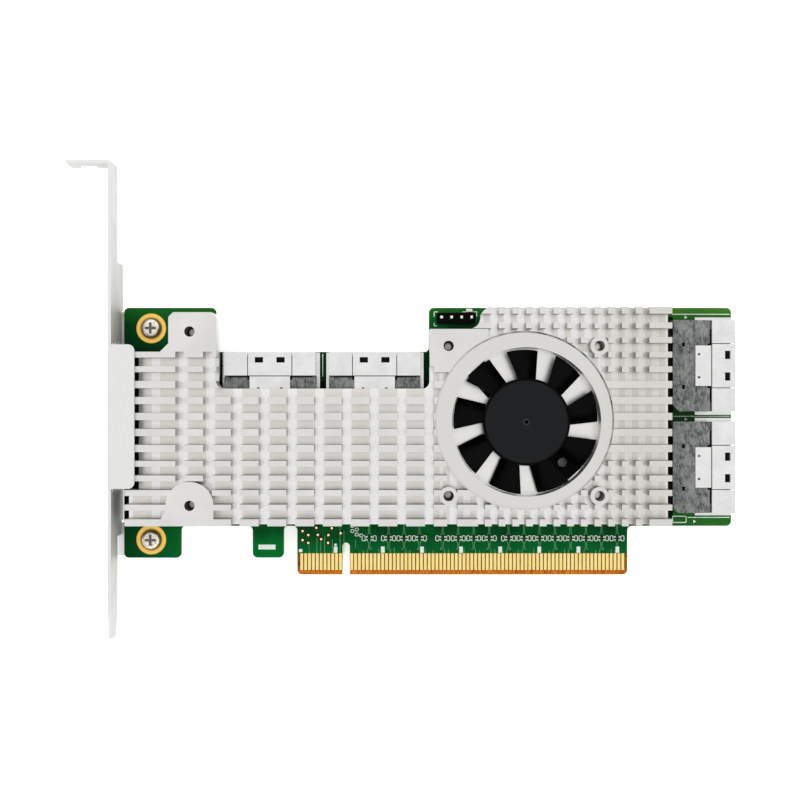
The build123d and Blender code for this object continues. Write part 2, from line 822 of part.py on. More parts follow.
# Rotor: a steel yoke in the hub, the magnet ring in the yoke, and the shaft
pieces["rotor_yoke"] = sleeve(yoke_radius, yoke_radius - yoke_wall, hub_skirt_z, hub_cap_z)
pieces["rotor_magnet"] = sleeve(
    magnet_radius, magnet_radius - magnet_wall, magnet_lower_z, magnet_upper_z
)
groove_z = shaft_end_z + groove_from_end
with BuildPart() as shaft:
    with BuildSketch(Plane.XZ):
        with BuildLine():
            Polyline(
                (0, shaft_end_z),
                (shaft_radius, shaft_end_z),
                (shaft_radius, groove_z),
                (shaft_radius - groove_depth, groove_z),
                (shaft_radius - groove_depth, groove_z + groove_width),
                (shaft_radius, groove_z + groove_width),
                (shaft_radius, hub_top - shaft_in_hub),
                (0, hub_top - shaft_in_hub),
                close=True,
            )
        make_face()
    revolve(axis=Axis.Z)
pieces["fan_shaft"] = placed(shaft, fan_axis)
pieces["shaft_clip"] = sleeve(
    shaft_radius + clip_reach,
    shaft_radius - groove_depth + press_gap,
    groove_z + (groove_width - clip_thickness) / 2,
    groove_z + (groove_width + clip_thickness) / 2,
)


# Fan base: a plate with two ears, and the tube that holds the bearing
with BuildPart() as fan_base:
    with BuildSketch(Plane.XY.offset(pocket_floor)):
        Circle(base_diameter / 2)
        with PolarLocations(0, base_arms, start_angle=base_arm_angle):
            Rectangle(
                pocket_bore / 2 - arm_end_gap, base_arm_width, align=(Align.MIN, Align.CENTER)
            )
        with PolarLocations(base_screw_radius, base_arms, start_angle=base_arm_angle):
            Circle(base_screw_diameter / 2 + thread_clearance, mode=Mode.SUBTRACT)
    extrude(amount=base_thickness)
    with BuildSketch(Plane.XY.offset(base_top)):
        Circle(tube_radius)
    extrude(amount=bearing_upper_z - base_top)
    with Locations((0, 0, bearing_upper_z)):
        CounterBoreHole(
            tube_bore_radius - tube_ledge,
            tube_bore_radius,
            bearing_upper_z - bearing_lower_z,
            depth=bearing_upper_z - pocket_floor - tube_floor,
        )
pieces["fan_base"] = placed(fan_base, fan_axis)
pieces["fan_bearing"] = sleeve(
    bearing_radius, shaft_radius + shaft_clearance, bearing_lower_z, bearing_upper_z
)

base_screw = pan_screw(
    base_screw_head,
    base_screw_head_height + cross_depth / 4,
    base_screw_diameter,
    base_thickness + base_screw_depth - thread_clearance,
)
with BuildPart() as base_screws:
    with Locations((0, 0, base_top)):
        with PolarLocations(base_screw_radius, base_arms, start_angle=base_arm_angle):
            add(base_screw.part)
pieces["fan_base_screws"] = placed(base_screws, fan_axis)


# Stator: a six-pole core on the tube, its windings and the small driver board
shoe_inner_radius = stator_radius - shoe_thickness
core_radius = tube_radius + thread_clearance + core_wall
with BuildPart() as stator:
    with BuildSketch(Plane.XY.offset(stator_middle_z - stator_height / 2)):
        Circle(stator_radius)
        Circle(shoe_inner_radius, mode=Mode.SUBTRACT)
        with PolarLocations(stator_radius, poles, start_angle=180 / poles):
            Rectangle(4 * shoe_thickness, slot_opening, mode=Mode.SUBTRACT)
        Circle(core_radius)
        with PolarLocations((core_radius + shoe_inner_radius) / 2, poles):
            Rectangle(shoe_inner_radius - core_radius + shoe_thickness, pole_width)
        Circle(tube_radius + thread_clearance, mode=Mode.SUBTRACT)
    extrude(amount=stator_height)
pieces["stator_core"] = placed(stator, fan_axis)

winding_inner_y = pole_width / 2 + winding_clear
winding_inner_z = stator_height / 2 + winding_clear
winding_length = shoe_inner_radius - core_radius - 6 * winding_clear
with BuildPart() as winding:
    with BuildSketch(Plane.YZ.offset((core_radius + shoe_inner_radius - winding_length) / 2)):
        with Locations((0, stator_middle_z)):
            Rectangle(
                2 * (winding_inner_y + winding_build),
                2 * (winding_inner_z + winding_build),
            )
            Rectangle(2 * winding_inner_y, 2 * winding_inner_z, mode=Mode.SUBTRACT)
    extrude(amount=winding_length)
with BuildPart() as windings:
    with PolarLocations(0, poles):
        add(winding.part)
pieces["stator_windings"] = placed(windings, fan_axis)

pieces["fan_driver_board"] = sleeve(
    base_diameter / 2 - fan_board_edge,
    tube_radius + thread_clearance,
    base_top,
    base_top + fan_board_thickness,
)


# Fan header with its four pins
with BuildPart() as header_body:
    with BuildSketch() as header_outline:
        with Locations((header_x, header_y)):
            Rectangle(header_pins * header_pitch - 0.2, header_width)
        chamfer(header_outline.vertices(), header_pin_width / 2)
        with Locations((header_x, header_y)):
            with GridLocations(header_pitch, header_pitch, header_pins, 1):
                Rectangle(
                    header_pin_width + 2 * header_pin_clearance,
                    header_pin_width + 2 * header_pin_clearance,
                    mode=Mode.SUBTRACT,
                )
    extrude(amount=header_height)
pieces["fan_header_body"] = header_body

with BuildPart() as header_pin_row:
    with BuildSketch(Plane.XY.offset(board_back - header_pin_tail)):
        with Locations((header_x, header_y)):
            with GridLocations(header_pitch, header_pitch, header_pins, 1):
                Rectangle(header_pin_width, header_pin_width)
    extrude(amount=header_pin_top - board_back + header_pin_tail)
    chamfer(header_pin_row.edges().group_by(Axis.Z)[-1], header_pin_width / 4)
pieces["fan_header_pins"] = header_pin_row


# Small parts soldered to the board
with BuildPart() as coupling_capacitors:
    lane_xs = [key_width / 2 + (n - short_contacts) * contact_pitch for n in lane_contacts]
    with BuildSketch():
        with Locations(*[(x, capacitor_row_y) for x in lane_xs]):
            with GridLocations(capacitor_pair_gap, 1, 2, 1):
                Rectangle(capacitor_width, capacitor_length)
    extrude(amount=capacitor_height)
pieces["coupling_capacitors"] = coupling_capacitors

with BuildPart() as decoupling_capacitors:
    with BuildSketch(Plane.XY.offset(board_back)):
        with Locations((chip_x, chip_y)):
            with GridLocations(
                decoupling_pitch, decoupling_pitch, decoupling_columns, decoupling_rows
            ):
                Rectangle(capacitor_length, capacitor_width)
    extrude(amount=-capacitor_height)
pieces["decoupling_capacitors"] = decoupling_capacitors

with BuildPart() as power_inductors:
    with BuildSketch():
        for i in range(inductors):
            with Locations((inductor_x + i * inductor_pitch, inductor_y)):
                Rectangle(inductor_size, inductor_size)
    extrude(amount=inductor_height)
    chamfer(power_inductors.edges().filter_by(Axis.Z), inductor_size / 10)
pieces["power_inductors"] = power_inductors

with BuildPart() as regulator_chips:
    with BuildSketch():
        for i in range(inductors):
            with Locations((inductor_x + i * inductor_pitch, regulator_y)):
                Rectangle(regulator_size, regulator_size)
    extrude(amount=regulator_height)
pieces["regulator_chips"] = regulator_chips

pieces["flash_chip"] = chip_body(
    flash_x, flash_y, 0, flash_length, flash_width, flash_height, flash_height / 8
)
pieces["clock_oscillator"] = chip_body(
    oscillator_x, oscillator_y, 0, oscillator_length, oscillator_width, oscillator_height, 0.1
)
pieces["status_light"] = chip_body(
    light_x, light_y, 0, light_length, light_width, light_height, light_height / 6
)


# Write one file for each piece
os.makedirs("parts", exist_ok=True)
for name, piece in pieces.items():
    piece.part.label = name
    export_step(piece.part, f"parts/{name}.step")
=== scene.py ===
"""Looks of the switch adapter card: finishes for the CAD nodes, the board's fine detail, the studio."""

import math

import bmesh
import bpy
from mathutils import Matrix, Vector


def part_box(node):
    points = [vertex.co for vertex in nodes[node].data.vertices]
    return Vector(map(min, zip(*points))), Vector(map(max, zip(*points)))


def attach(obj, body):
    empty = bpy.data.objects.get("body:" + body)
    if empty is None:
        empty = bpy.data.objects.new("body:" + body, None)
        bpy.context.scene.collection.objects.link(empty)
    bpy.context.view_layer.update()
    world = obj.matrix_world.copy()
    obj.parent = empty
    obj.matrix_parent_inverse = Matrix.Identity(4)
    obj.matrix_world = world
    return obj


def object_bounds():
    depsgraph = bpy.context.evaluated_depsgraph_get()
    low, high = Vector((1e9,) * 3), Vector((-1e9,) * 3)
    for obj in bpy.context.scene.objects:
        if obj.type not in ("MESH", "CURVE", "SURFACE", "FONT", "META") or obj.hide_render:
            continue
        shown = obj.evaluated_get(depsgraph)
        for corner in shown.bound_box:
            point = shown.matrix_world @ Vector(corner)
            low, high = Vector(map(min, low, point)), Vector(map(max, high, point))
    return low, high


MM = 0.001

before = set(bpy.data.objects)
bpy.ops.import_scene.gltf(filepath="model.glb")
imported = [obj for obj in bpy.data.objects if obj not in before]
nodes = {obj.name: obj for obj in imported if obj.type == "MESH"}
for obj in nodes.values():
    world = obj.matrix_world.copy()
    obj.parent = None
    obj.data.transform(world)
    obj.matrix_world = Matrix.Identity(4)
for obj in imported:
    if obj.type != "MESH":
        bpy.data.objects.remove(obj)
cad_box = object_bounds()

# Places on the card, in millimetres in the card's own frame. A reach is how far the screws stand on each
# side of the axis between them, along X and along Y.

# Fan
FAN_AXIS = (45.6, 39.6)
POCKET_RADIUS = 18.7
HUB_MATTE_RADIUS = 10.3
HUB_FACE = 13.3
DIMPLE_RADIUS, DIMPLE_LIP = 0.5, 0.8
# Heatsink: the cross-cuts are coarse on the long arm and fine on the broad end
SINK_TOP = 13.2
CHANNEL_FLOOR = 6.2
RING_AXIS = (45.1, 40.0)
RING_RADIUS = 22.4
CHIP_AXIS = (45.0, 39.85)
CHIP_SCREW_REACH = (18.9, 18.8)
EAR_SCREW_AXIS = (-38.8, 40.425)
EAR_SCREW_REACH = (0, 21.825)
SINK_HOLE_RADIUS = 1.4
COARSE_CUT_FIRST, COARSE_CUT_PITCH, COARSE_CUT_WIDTH = -41.25, 6.95, 2.2
FINE_CUT_LAST, FINE_CUT_PITCH, FINE_CUT_WIDTH = 75.5, 3.43, 1.75
BROAD_END_FROM = 24.0
SINK_LOW_EDGE = 14.2
ARM_TOP_EDGE = 57.8
# Bracket
BRACKET_SCREW_AXIS = (-50.3, 36.325)
BRACKET_SCREW_REACH = (0, 27.275)
FLANGE_FROM, FLANGE_TO = 22.4, 59.4
# Cable connectors: past TAIL_FROM along X only the two at the tail are left
UPPER_SOCKETS_X = (-19.3, 7.45)
TAIL_SOCKETS_Y = (27.9, 53.85)
TAIL_FROM = 60
SOCKET_HALF_WIDTH = 10.6
SHELL_DEPTH = 6.1
# Circuit board, whose component side is at Z nought
BOARD_BACK = -1.57
EARS_TO = -40
TAIL_STRIP_FROM = 84
CONTACT_TOP = 5.55
BEVEL_TOP = 1.2
FIRST_CONTACT = -9.55
LANE_CONTACTS = (16, 21, 25, 29, 35, 39, 43, 47, 52, 56, 60, 64, 68, 72, 76, 80)
# Contacts of the short end that have a single track, each with the Y where it ends
SHORT_END_TRACKS = ((1, 7.9), (3, 9.4), (4, 8.6), (5, 10.0), (7, 9.0), (9, 12.4), (10, 11.2), (13, 9.0))
CAPACITOR_ROW = 9.4
HEADER = (28.3, 66.1)
HEADER_PITCH = 2.54
# Prints and pads stand this far from the board's faces
PRINT_LIFT = 0.012
FRONT = PRINT_LIFT
BACK = BOARD_BACK - PRINT_LIFT
# Solder side: rows of plated holes behind the connectors, and the pitches of holes and tracks
UPPER_HOLES_Y = 40.6
TAIL_HOLES_X = 83.2
SOCKET_HOLE_PITCH = 1.13
TRACK_PITCH = 0.42
EDGE_HOLE_PITCH = 3.1


def linear(level):
    """A level given as it looks on a screen, 0 to 255, as the linear one that shaders take."""
    level /= 255
    return level / 12.92 if level <= 0.04045 else ((level + 0.055) / 1.055) ** 2.4


# ---------------------------------------------------------------- finishes


class Finish:
    """A material being put together from nodes. Places are in millimetres in the piece's own frame, and
    colours of three numbers are as they look on a screen, 0 to 255."""

    def __init__(self, name):
        self.material = bpy.data.materials.new(name)
        self.material.use_nodes = True
        self.tree = self.material.node_tree
        self.tree.nodes.clear()
        output = self.node("OutputMaterial")
        self.shader = self.node("BsdfPrincipled")
        self.put(output.inputs[0], self.shader.outputs[0])
        self.coordinates = self.node("TexCoord")
        scaled = self.node("VectorMath", operation="SCALE")
        self.put(scaled.inputs["Scale"], 1 / MM)
        self.put(scaled.inputs[0], self.coordinates.outputs["Object"])
        self.place = scaled.outputs[0]
        self.relief = None

    def node(self, kind, **settings):
        node = self.tree.nodes.new("ShaderNode" + kind)
        for name, value in settings.items():
            setattr(node, name, value)
        return node

    def put(self, socket, value):
        """Links a node's output to a socket, or sets the socket's own value."""
        if isinstance(value, bpy.types.NodeSocket):
            self.tree.links.new(value, socket)
        elif socket.type == "RGBA" and len(value) == 3:
            socket.default_value = (*map(linear, value), 1)
        else:
            socket.default_value = value

    def set(self, **values):
        for name, value in values.items():
            self.put(self.shader.inputs[name.replace("_", " ")], value)

    def math(self, operation, *values):
        node = self.node("Math", operation=operation)
        for socket, value in zip(node.inputs, values):
            self.put(socket, value)
        return node.outputs[0]

    def both(self, *shares):
        """One where every share is one."""
        result = shares[0]
        for share in shares[1:]:
            result = self.math("MULTIPLY", result, share)
        return result

    def either(self, *shares):
        result = shares[0]
        for share in shares[1:]:
            result = self.math("MAXIMUM", result, share)
        return result

    def below(self, value, limit):
        return self.math("LESS_THAN", value, limit)

    def above(self, value, limit):
        return self.math("GREATER_THAN", value, limit)

    def between(self, value, low, high):
        return self.both(self.above(value, low), self.below(value, high))

    def step_from(self, value, first, pitch):
        """Distance from the nearest of a row of lines that starts at first."""
        return self.math("PINGPONG", self.math("SUBTRACT", value, first), pitch / 2)

    def noise(self, size, detail=2, roughness=0.5, stretch=(1, 1, 1), place=None, offset=(0, 0, 0)):
        """Noise whose features are about size millimetres across."""
        moved = self.node("VectorMath", operation="MULTIPLY_ADD")
        spread = tuple(part / size for part in stretch)
        for socket, value in zip(moved.inputs, (place or self.place, spread, offset)):
            self.put(socket, value)
        node = self.node("TexNoise")
        self.put(node.inputs["Vector"], moved.outputs[0])
        for name, value in (("Scale", 1), ("Detail", detail), ("Roughness", roughness)):
            self.put(node.inputs[name], value)
        return node.outputs["Fac"]

    def ramp(self, value, low, high, start=0.0, end=1.0):
        """Maps low..high to start..end, held at both ends."""
        node = self.node("MapRange")
        for socket, part in zip(node.inputs, (value, low, high, start, end)):
            self.put(socket, part)
        return node.outputs["Result"]

    def mix(self, share, first, second):
        """A colour between two others."""
        node = self.node("Mix", data_type="RGBA")
        self.put(node.inputs["Factor"], share)
        self.put(node.inputs[6], first)
        self.put(node.inputs[7], second)
        return node.outputs[2]

    def blend(self, share, first, second):
        """A number between two others."""
        node = self.node("Mix")
        self.put(node.inputs[0], share)
        self.put(node.inputs[2], first)
        self.put(node.inputs[3], second)
        return node.outputs[0]

    def split(self, vector):
        """The X, Y and Z of a vector."""
        node = self.node("SeparateXYZ")
        self.put(node.inputs[0], vector)
        return node.outputs

    def axes(self):
        return self.split(self.place)

    def facing(self, axis):
        """One on faces that look along an axis, either way, nought on those at right angles to it."""
        return self.math("ABSOLUTE", self.split(self.coordinates.outputs["Normal"])["XYZ".index(axis)])

    def near_line(self, value, place, half_width):
        """One within half_width of a line at place."""
        return self.below(self.math("ABSOLUTE", self.math("SUBTRACT", value, place)), half_width)

    def distance_from(self, axis, reach=(0, 0)):
        """Distance from an upright axis, or from the nearest of those at reach on each side of it."""
        squares = []
        for value, centre, half in zip(self.axes(), axis, reach):
            offset = self.math("ABSOLUTE", self.math("SUBTRACT", value, centre))
            offset = self.math("ABSOLUTE", self.math("SUBTRACT", offset, half))
            squares.append(self.math("POWER", offset, 2.0))
        return self.math("SQRT", self.math("ADD", *squares))

    def bump(self, height, depth, strength=1.0):
        """Relief of about depth millimetres. Further calls add to the first."""
        node = self.node("Bump")
        for name, value in (("Strength", strength), ("Distance", depth * MM), ("Height", height)):
            self.put(node.inputs[name], value)
        if self.relief is not None:
            self.put(node.inputs["Normal"], self.relief)
        self.relief = node.outputs[0]
        self.set(Normal=self.relief)


def solder_mask():
    """Green lacquer on glass laminate: amber between the contacts, orange on the bevel, straw at edges."""
    mask = Finish("solder_mask")
    x, y, z = mask.axes()
    flat = mask.facing("Z")
    component_side = mask.above(z, -0.5)
    cloud = mask.noise(9, 3, 0.55)
    fine = mask.noise(0.5, 2, 0.6)
    weave = mask.noise(0.35, 1, 0.5, (1, 0.16, 1))
    weft = mask.noise(0.35, 1, 0.5, (0.16, 1, 1), offset=(5, 3, 1))

    green = mask.mix(mask.ramp(cloud, 0.3, 0.7), (0, 48, 18), (0, 92, 38))
    green = mask.mix(mask.ramp(fine, 0.35, 0.7, 0, 0.25), green, (2, 100, 44))
    # Yellower towards the upper edge and the tail, most of all at the corner between them
    rim = mask.either(mask.ramp(y, 64.5, 68.5), mask.ramp(x, TAIL_STRIP_FROM, 99, 0, 0.6))
    green = mask.mix(mask.both(rim, mask.ramp(cloud, 0.2, 0.8, 0.5, 1.0)), green, (34, 104, 26))
    tail_corner = mask.both(mask.above(x, TAIL_STRIP_FROM), mask.ramp(y, 66.5, 68.5, 0.2, 0.75))
    green = mask.mix(tail_corner, green, mask.mix(cloud, (44, 112, 26), (88, 134, 44)))
    # Lighter beside the contacts, on the small tab and on the two bracket ears
    near_contacts = mask.ramp(y, 5.5, 9.5, 0.7, 0)
    green = mask.mix(mask.both(near_contacts, mask.above(x, -12)), green, (4, 98, 46))
    on_tab = mask.both(mask.between(x, -25, -15), mask.ramp(y, 11.5, 8.0, 0, 0.7))
    green = mask.mix(on_tab, green, (0, 112, 44))
    on_ears = mask.both(mask.below(x, EARS_TO), component_side)
    ear_green = mask.mix(mask.ramp(x, -56, -43), (0, 54, 20), (0, 98, 41))
    ear_green = mask.mix(mask.ramp(y, 64.5, 68.0, 0, 0.8), ear_green, (20, 100, 26))
    green = mask.mix(mask.both(on_ears, mask.ramp(cloud, 0.2, 0.8, 0.65, 0.95)), green, ear_green)
    # Nearly black in the heatsink's shade, and dark just beside it on the upper ear
    past_arm = mask.above(x, BROAD_END_FROM)
    shade_top = mask.blend(past_arm, ARM_TOP_EDGE, mask.blend(mask.above(x, TAIL_FROM), 61.5, 66.6))
    under_sink = mask.both(mask.below(x, 84.4), mask.ramp(y, 12.4, 14.6), mask.below(y, shade_top))
    shaded = mask.both(under_sink, component_side)
    in_recess = mask.both(mask.between(x, -37, 28), mask.above(y, 50))
    green = mask.mix(mask.both(shaded, mask.blend(in_recess, 0.94, 0.6)), green, (0, 4, 2))
    beside_sink = mask.both(
        mask.below(x, EARS_TO), mask.ramp(y, 61.5, ARM_TOP_EDGE, 0, 0.6), mask.above(y, ARM_TOP_EDGE)
    )
    green = mask.mix(beside_sink, green, (0, 22, 8))

    laminate = mask.mix(mask.ramp(weave, 0.35, 0.65), (92, 56, 12), (150, 102, 34))
    bare = mask.below(y, CONTACT_TOP)
    colour = mask.mix(mask.both(bare, mask.above(x, -12.7)), green, laminate)
    side = mask.below(flat, 0.35)
    straw = mask.mix(mask.noise(0.25, 2, 0.6, (1, 1, 3)), (96, 104, 44), (160, 154, 84))
    colour = mask.mix(side, colour, straw)
    bevel = mask.both(mask.below(flat, 0.985), mask.below(y, BEVEL_TOP + 0.05))
    cut = mask.mix(mask.ramp(weave, 0.3, 0.7), (148, 72, 10), (206, 120, 36))
    cut = mask.mix(mask.ramp(y, 0.75, BEVEL_TOP, 0, 0.55), cut, (128, 62, 12))
    colour = mask.mix(bevel, colour, cut)
    rough = mask.either(bare, side, bevel)
    mask.set(Base_Color=colour, Roughness=mask.blend(rough, mask.ramp(fine, 0.2, 0.8, 0.22, 0.36), 0.62))
    mask.set(Specular_IOR_Level=0.04)
    mask.bump(mask.math("ADD", weave, weft), 0.012, 0.5)
    mask.bump(fine, 0.01, 0.4)
    return mask.material


def contact_plate():
    """Gold plate, rubbed along the card's insertion."""
    plate = Finish("contact_gold")
    grain = plate.noise(0.12, 3, 0.6, (1, 0.08, 1))
    cloud = plate.noise(1.6, 3, 0.6, (1, 0.3, 1))
    colour = plate.mix(plate.ramp(cloud, 0.3, 0.7), (250, 222, 134), (253, 234, 162))
    colour = plate.mix(plate.ramp(grain, 0.6, 0.85, 0, 0.35), colour, (226, 176, 84))
    plate.set(Base_Color=colour, Metallic=1.0, Roughness=plate.ramp(grain, 0.2, 0.8, 0.2, 0.36))
    plate.bump(grain, 0.004, 0.4)
    return plate.material


def screw_land():
    """Gold land under a bracket screw, with painted shade close to the screw's head."""
    land = Finish("land_gold")
    radius = land.distance_from(BRACKET_SCREW_AXIS, BRACKET_SCREW_REACH)
    grain = land.noise(0.2, 3, 0.6)
    colour = land.mix(land.ramp(grain, 0.3, 0.7), (236, 190, 84), (255, 218, 124))
    # Painted shade: dark close to the screw's head
    colour = land.mix(land.ramp(radius, 2.5, 3.1, 0.9, 0), colour, (74, 34, 10))
    colour = land.mix(land.ramp(radius, 3.55, 3.85, 0, 0.5), colour, (176, 112, 30))
    land.set(Base_Color=colour, Metallic=1.0, Roughness=land.ramp(grain, 0.2, 0.8, 0.24, 0.42))
    land.bump(grain, 0.006, 0.5)
    return land.material


def pad_gold():
    """Thin gold over nickel on the small bare pads."""
    pad = Finish("pad_gold")
    grain = pad.noise(0.14, 3, 0.6)
    pad.set(Base_Color=pad.mix(grain, (252, 236, 168), (255, 250, 214)), Metallic=1.0)
    pad.set(Roughness=pad.ramp(grain, 0.2, 0.8, 0.2, 0.36))
    pad.bump(grain, 0.004, 0.4)
    return pad.material


def milled_aluminium():
    """Milled and blasted aluminium: cutter marks along the fins, painted light on the channel floors, most
    where the cross cuts run, turned marks on the ring round the fan, and painted shade on the walls, ring
    edge and holes."""
    block = Finish("milled_aluminium")
    x, y, z = block.axes()
    ring = block.distance_from(RING_AXIS)
    pocket = block.distance_from(FAN_AXIS)
    along = block.noise(0.16, 3, 0.6, (0.03, 1, 1))
    turned_place = block.node("CombineXYZ")
    block.put(turned_place.inputs[0], ring)
    turned = block.noise(0.14, 3, 0.6, place=turned_place.outputs[0])
    on_ring = block.below(ring, RING_RADIUS)
    marks = block.blend(on_ring, along, turned)
    blasted = block.noise(0.11, 2, 0.65)
    cloud = block.noise(14, 3, 0.6)
    stain = block.noise(3.2, 4, 0.65, (1, 1.6, 1))

    colour = block.mix(block.ramp(cloud, 0.3, 0.7), (211, 210, 208), (222, 221, 219))
    colour = block.mix(block.both(on_ring, 0.8), colour, (212, 211, 208))
    # Painted light: the channel floors and the pocket's floor are lighter than the tops, most in the cross
    # cuts' lanes
    low = block.below(z, CHANNEL_FLOOR + 0.4)
    coarse = block.below(block.step_from(x, COARSE_CUT_FIRST, COARSE_CUT_PITCH), COARSE_CUT_WIDTH / 2)
    fine = block.below(block.step_from(x, FINE_CUT_LAST, FINE_CUT_PITCH), FINE_CUT_WIDTH / 2)
    cut = block.blend(block.below(x, BROAD_END_FROM), fine, coarse)
    channel = block.mix(cut, (226, 223, 217), (242, 242, 241))
    colour = block.mix(low, colour, channel)
    in_pocket = block.both(low, block.below(pocket, POCKET_RADIUS + 0.1))
    colour = block.mix(in_pocket, colour, (236, 235, 232))
    colour = block.mix(block.ramp(marks, 0.5, 0.85, 0, 0.4), colour, (204, 200, 193))
    colour = block.mix(block.ramp(stain, 0.6, 0.8, 0, 0.3), colour, (206, 196, 180))
    colour = block.mix(block.ramp(x, 62, 72, 0, 0.35), colour, (196, 192, 184))

    # The ring's outline: painted shadow, darkest towards the upper right
    from_ring = [block.math("SUBTRACT", value, centre) for value, centre in zip((x, y), RING_AXIS)]
    upper_right = block.ramp(block.math("ADD", *from_ring), -14, 24, 0.12, 0.9)
    ring_shadow = block.both(block.near_line(ring, RING_RADIUS - 0.2, 0.22), block.above(z, SINK_TOP - 0.1))
    ring_shadow = block.both(ring_shadow, upper_right, block.ramp(stain, 0.35, 0.6, 0.5, 1))
    colour = block.mix(ring_shadow, colour, (60, 56, 50))

    # Painted shade on the walls of the channels, darker towards their tops, and less so where they look
    # along the card
    wall = block.below(block.facing("Z"), 0.5)
    side_on = block.above(block.facing("X"), 0.7)
    inner = block.both(
        block.between(x, -51.5, 81.6),
        block.between(y, SINK_LOW_EDGE, 67.6),
        block.above(pocket, POCKET_RADIUS + 0.3),
    )
    strong = block.ramp(z, 8.5, 12.2, 0.12, 0.75)
    weak = block.ramp(z, 8.5, 12.2, 0.05, 0.3)
    wall_shade = block.both(
        wall, inner, block.blend(side_on, strong, weak), block.ramp(stain, 0.3, 0.62, 0.45, 1)
    )
    colour = block.mix(wall_shade, colour, (96, 92, 84))
    # Sawn faces at the lower edge
    sawn = block.ramp(block.noise(0.22, 3, 0.75, offset=(2, 8, 3)), 0.42, 0.62, 0.1, 0.6)
    outer_end = block.both(wall, block.below(y, SINK_LOW_EDGE), block.below(side_on, 0.5))
    colour = block.mix(block.both(outer_end, sawn), colour, (158, 154, 147))
    # Painted shade down the screw holes, deeper on the side away from the tail
    hole = block.either(
        block.below(block.distance_from(CHIP_AXIS, CHIP_SCREW_REACH), SINK_HOLE_RADIUS),
        block.below(block.distance_from(EAR_SCREW_AXIS, EAR_SCREW_REACH), SINK_HOLE_RADIUS),
    )
    bore_shade = block.mix(block.above(x, CHIP_AXIS[0]), (26, 25, 24), (58, 56, 53))
    colour = block.mix(block.both(hole, wall), colour, bore_shade)

    top_gloss = block.ramp(blasted, 0.2, 0.8, 0.32, 0.44)
    channel_gloss = block.ramp(blasted, 0.2, 0.8, 0.18, 0.28)
    block.set(Base_Color=colour, Metallic=1.0, Roughness=block.blend(low, top_gloss, channel_gloss))
    block.bump(marks, 0.008, 0.4)
    block.bump(blasted, 0.004, 0.3)
    return block.material


def plated_steel(name, dark, light, size, roughness):
    """Nickel or tin over steel, and other small metal parts: a fine grain, specks and faint cloudiness."""
    metal = Finish(name)
    cloud = metal.noise(size * 12, 3, 0.55)
    grain = metal.noise(size, 3, 0.6)
    speck = metal.noise(size * 0.6, 2, 0.7, offset=(3, 1, 7))
    colour = metal.mix(metal.ramp(cloud, 0.3, 0.7), dark, light)
    colour = metal.mix(metal.ramp(speck, 0.62, 0.8, 0, 0.25), colour, dark)
    rough = metal.ramp(grain, 0.2, 0.8, roughness - 0.06, roughness + 0.08)
    metal.set(Base_Color=colour, Metallic=1.0, Roughness=rough)
    metal.bump(grain, 0.006, 0.5)
    return metal.material


def shell_tin():
    """Tinned sheet of the connector shells, with a line of painted shade where the strap steps down behind
    the panel.
    """
    sheet = Finish("shell_tin")
    x, y, z = sheet.axes()
    cloud = sheet.noise(3.6, 3, 0.55)
    rolled = sheet.noise(0.3, 3, 0.6, (0.1, 1, 1))
    colour = sheet.mix(sheet.ramp(cloud, 0.3, 0.7), (222, 222, 221), (236, 236, 235))
    colour = sheet.mix(sheet.ramp(rolled, 0.6, 0.8, 0, 0.25), colour, (208, 208, 206))
    upper_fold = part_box("connector_shell_1")[1][1] / MM - SHELL_DEPTH
    tail_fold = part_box("connector_shell_3")[1][0] / MM - SHELL_DEPTH
    at_upper, at_tail = sheet.near_line(y, upper_fold, 0.15), sheet.near_line(x, tail_fold, 0.15)
    at_fold = sheet.blend(sheet.above(x, TAIL_FROM), at_upper, at_tail)
    # Painted shade along the step in the strap
    colour = sheet.mix(sheet.both(at_fold, sheet.above(z, 4.9), 0.8), colour, (84, 82, 78))
    sheet.set(Base_Color=colour, Metallic=1.0, Roughness=sheet.ramp(rolled, 0.2, 0.8, 0.2, 0.34))
    sheet.bump(rolled, 0.006, 0.5)
    return sheet.material


def bracket_nickel():
    """Nickelled sheet, brushed along its length, with painted light: brighter on faces that look up, the
    side flange and the sheared edges among them.
    """
    sheet = Finish("bracket_nickel")
    _, y, _ = sheet.axes()
    face_up = sheet.above(sheet.facing("Z"), 0.8)
    cloud = sheet.noise(7, 3, 0.55)
    brushed = sheet.noise(0.3, 3, 0.6, (1, 0.05, 1))
    colour = sheet.mix(sheet.ramp(cloud, 0.3, 0.7), (178, 178, 176), (192, 192, 190))
    bright = sheet.mix(sheet.between(y, FLANGE_FROM, FLANGE_TO), (219, 219, 218), (218, 218, 217))
    # Painted light: faces that look up are lighter than the upright ones
    colour = sheet.mix(face_up, colour, bright)
    colour = sheet.mix(sheet.ramp(brushed, 0.55, 0.85, 0, 0.3), colour, (168, 168, 166))
    metallic = sheet.blend(face_up, 0.35, 1.0)
    sheet.set(Base_Color=colour, Metallic=metallic, Roughness=sheet.ramp(brushed, 0.2, 0.8, 0.4, 0.55))
    sheet.bump(brushed, 0.005, 0.4)
    return sheet.material


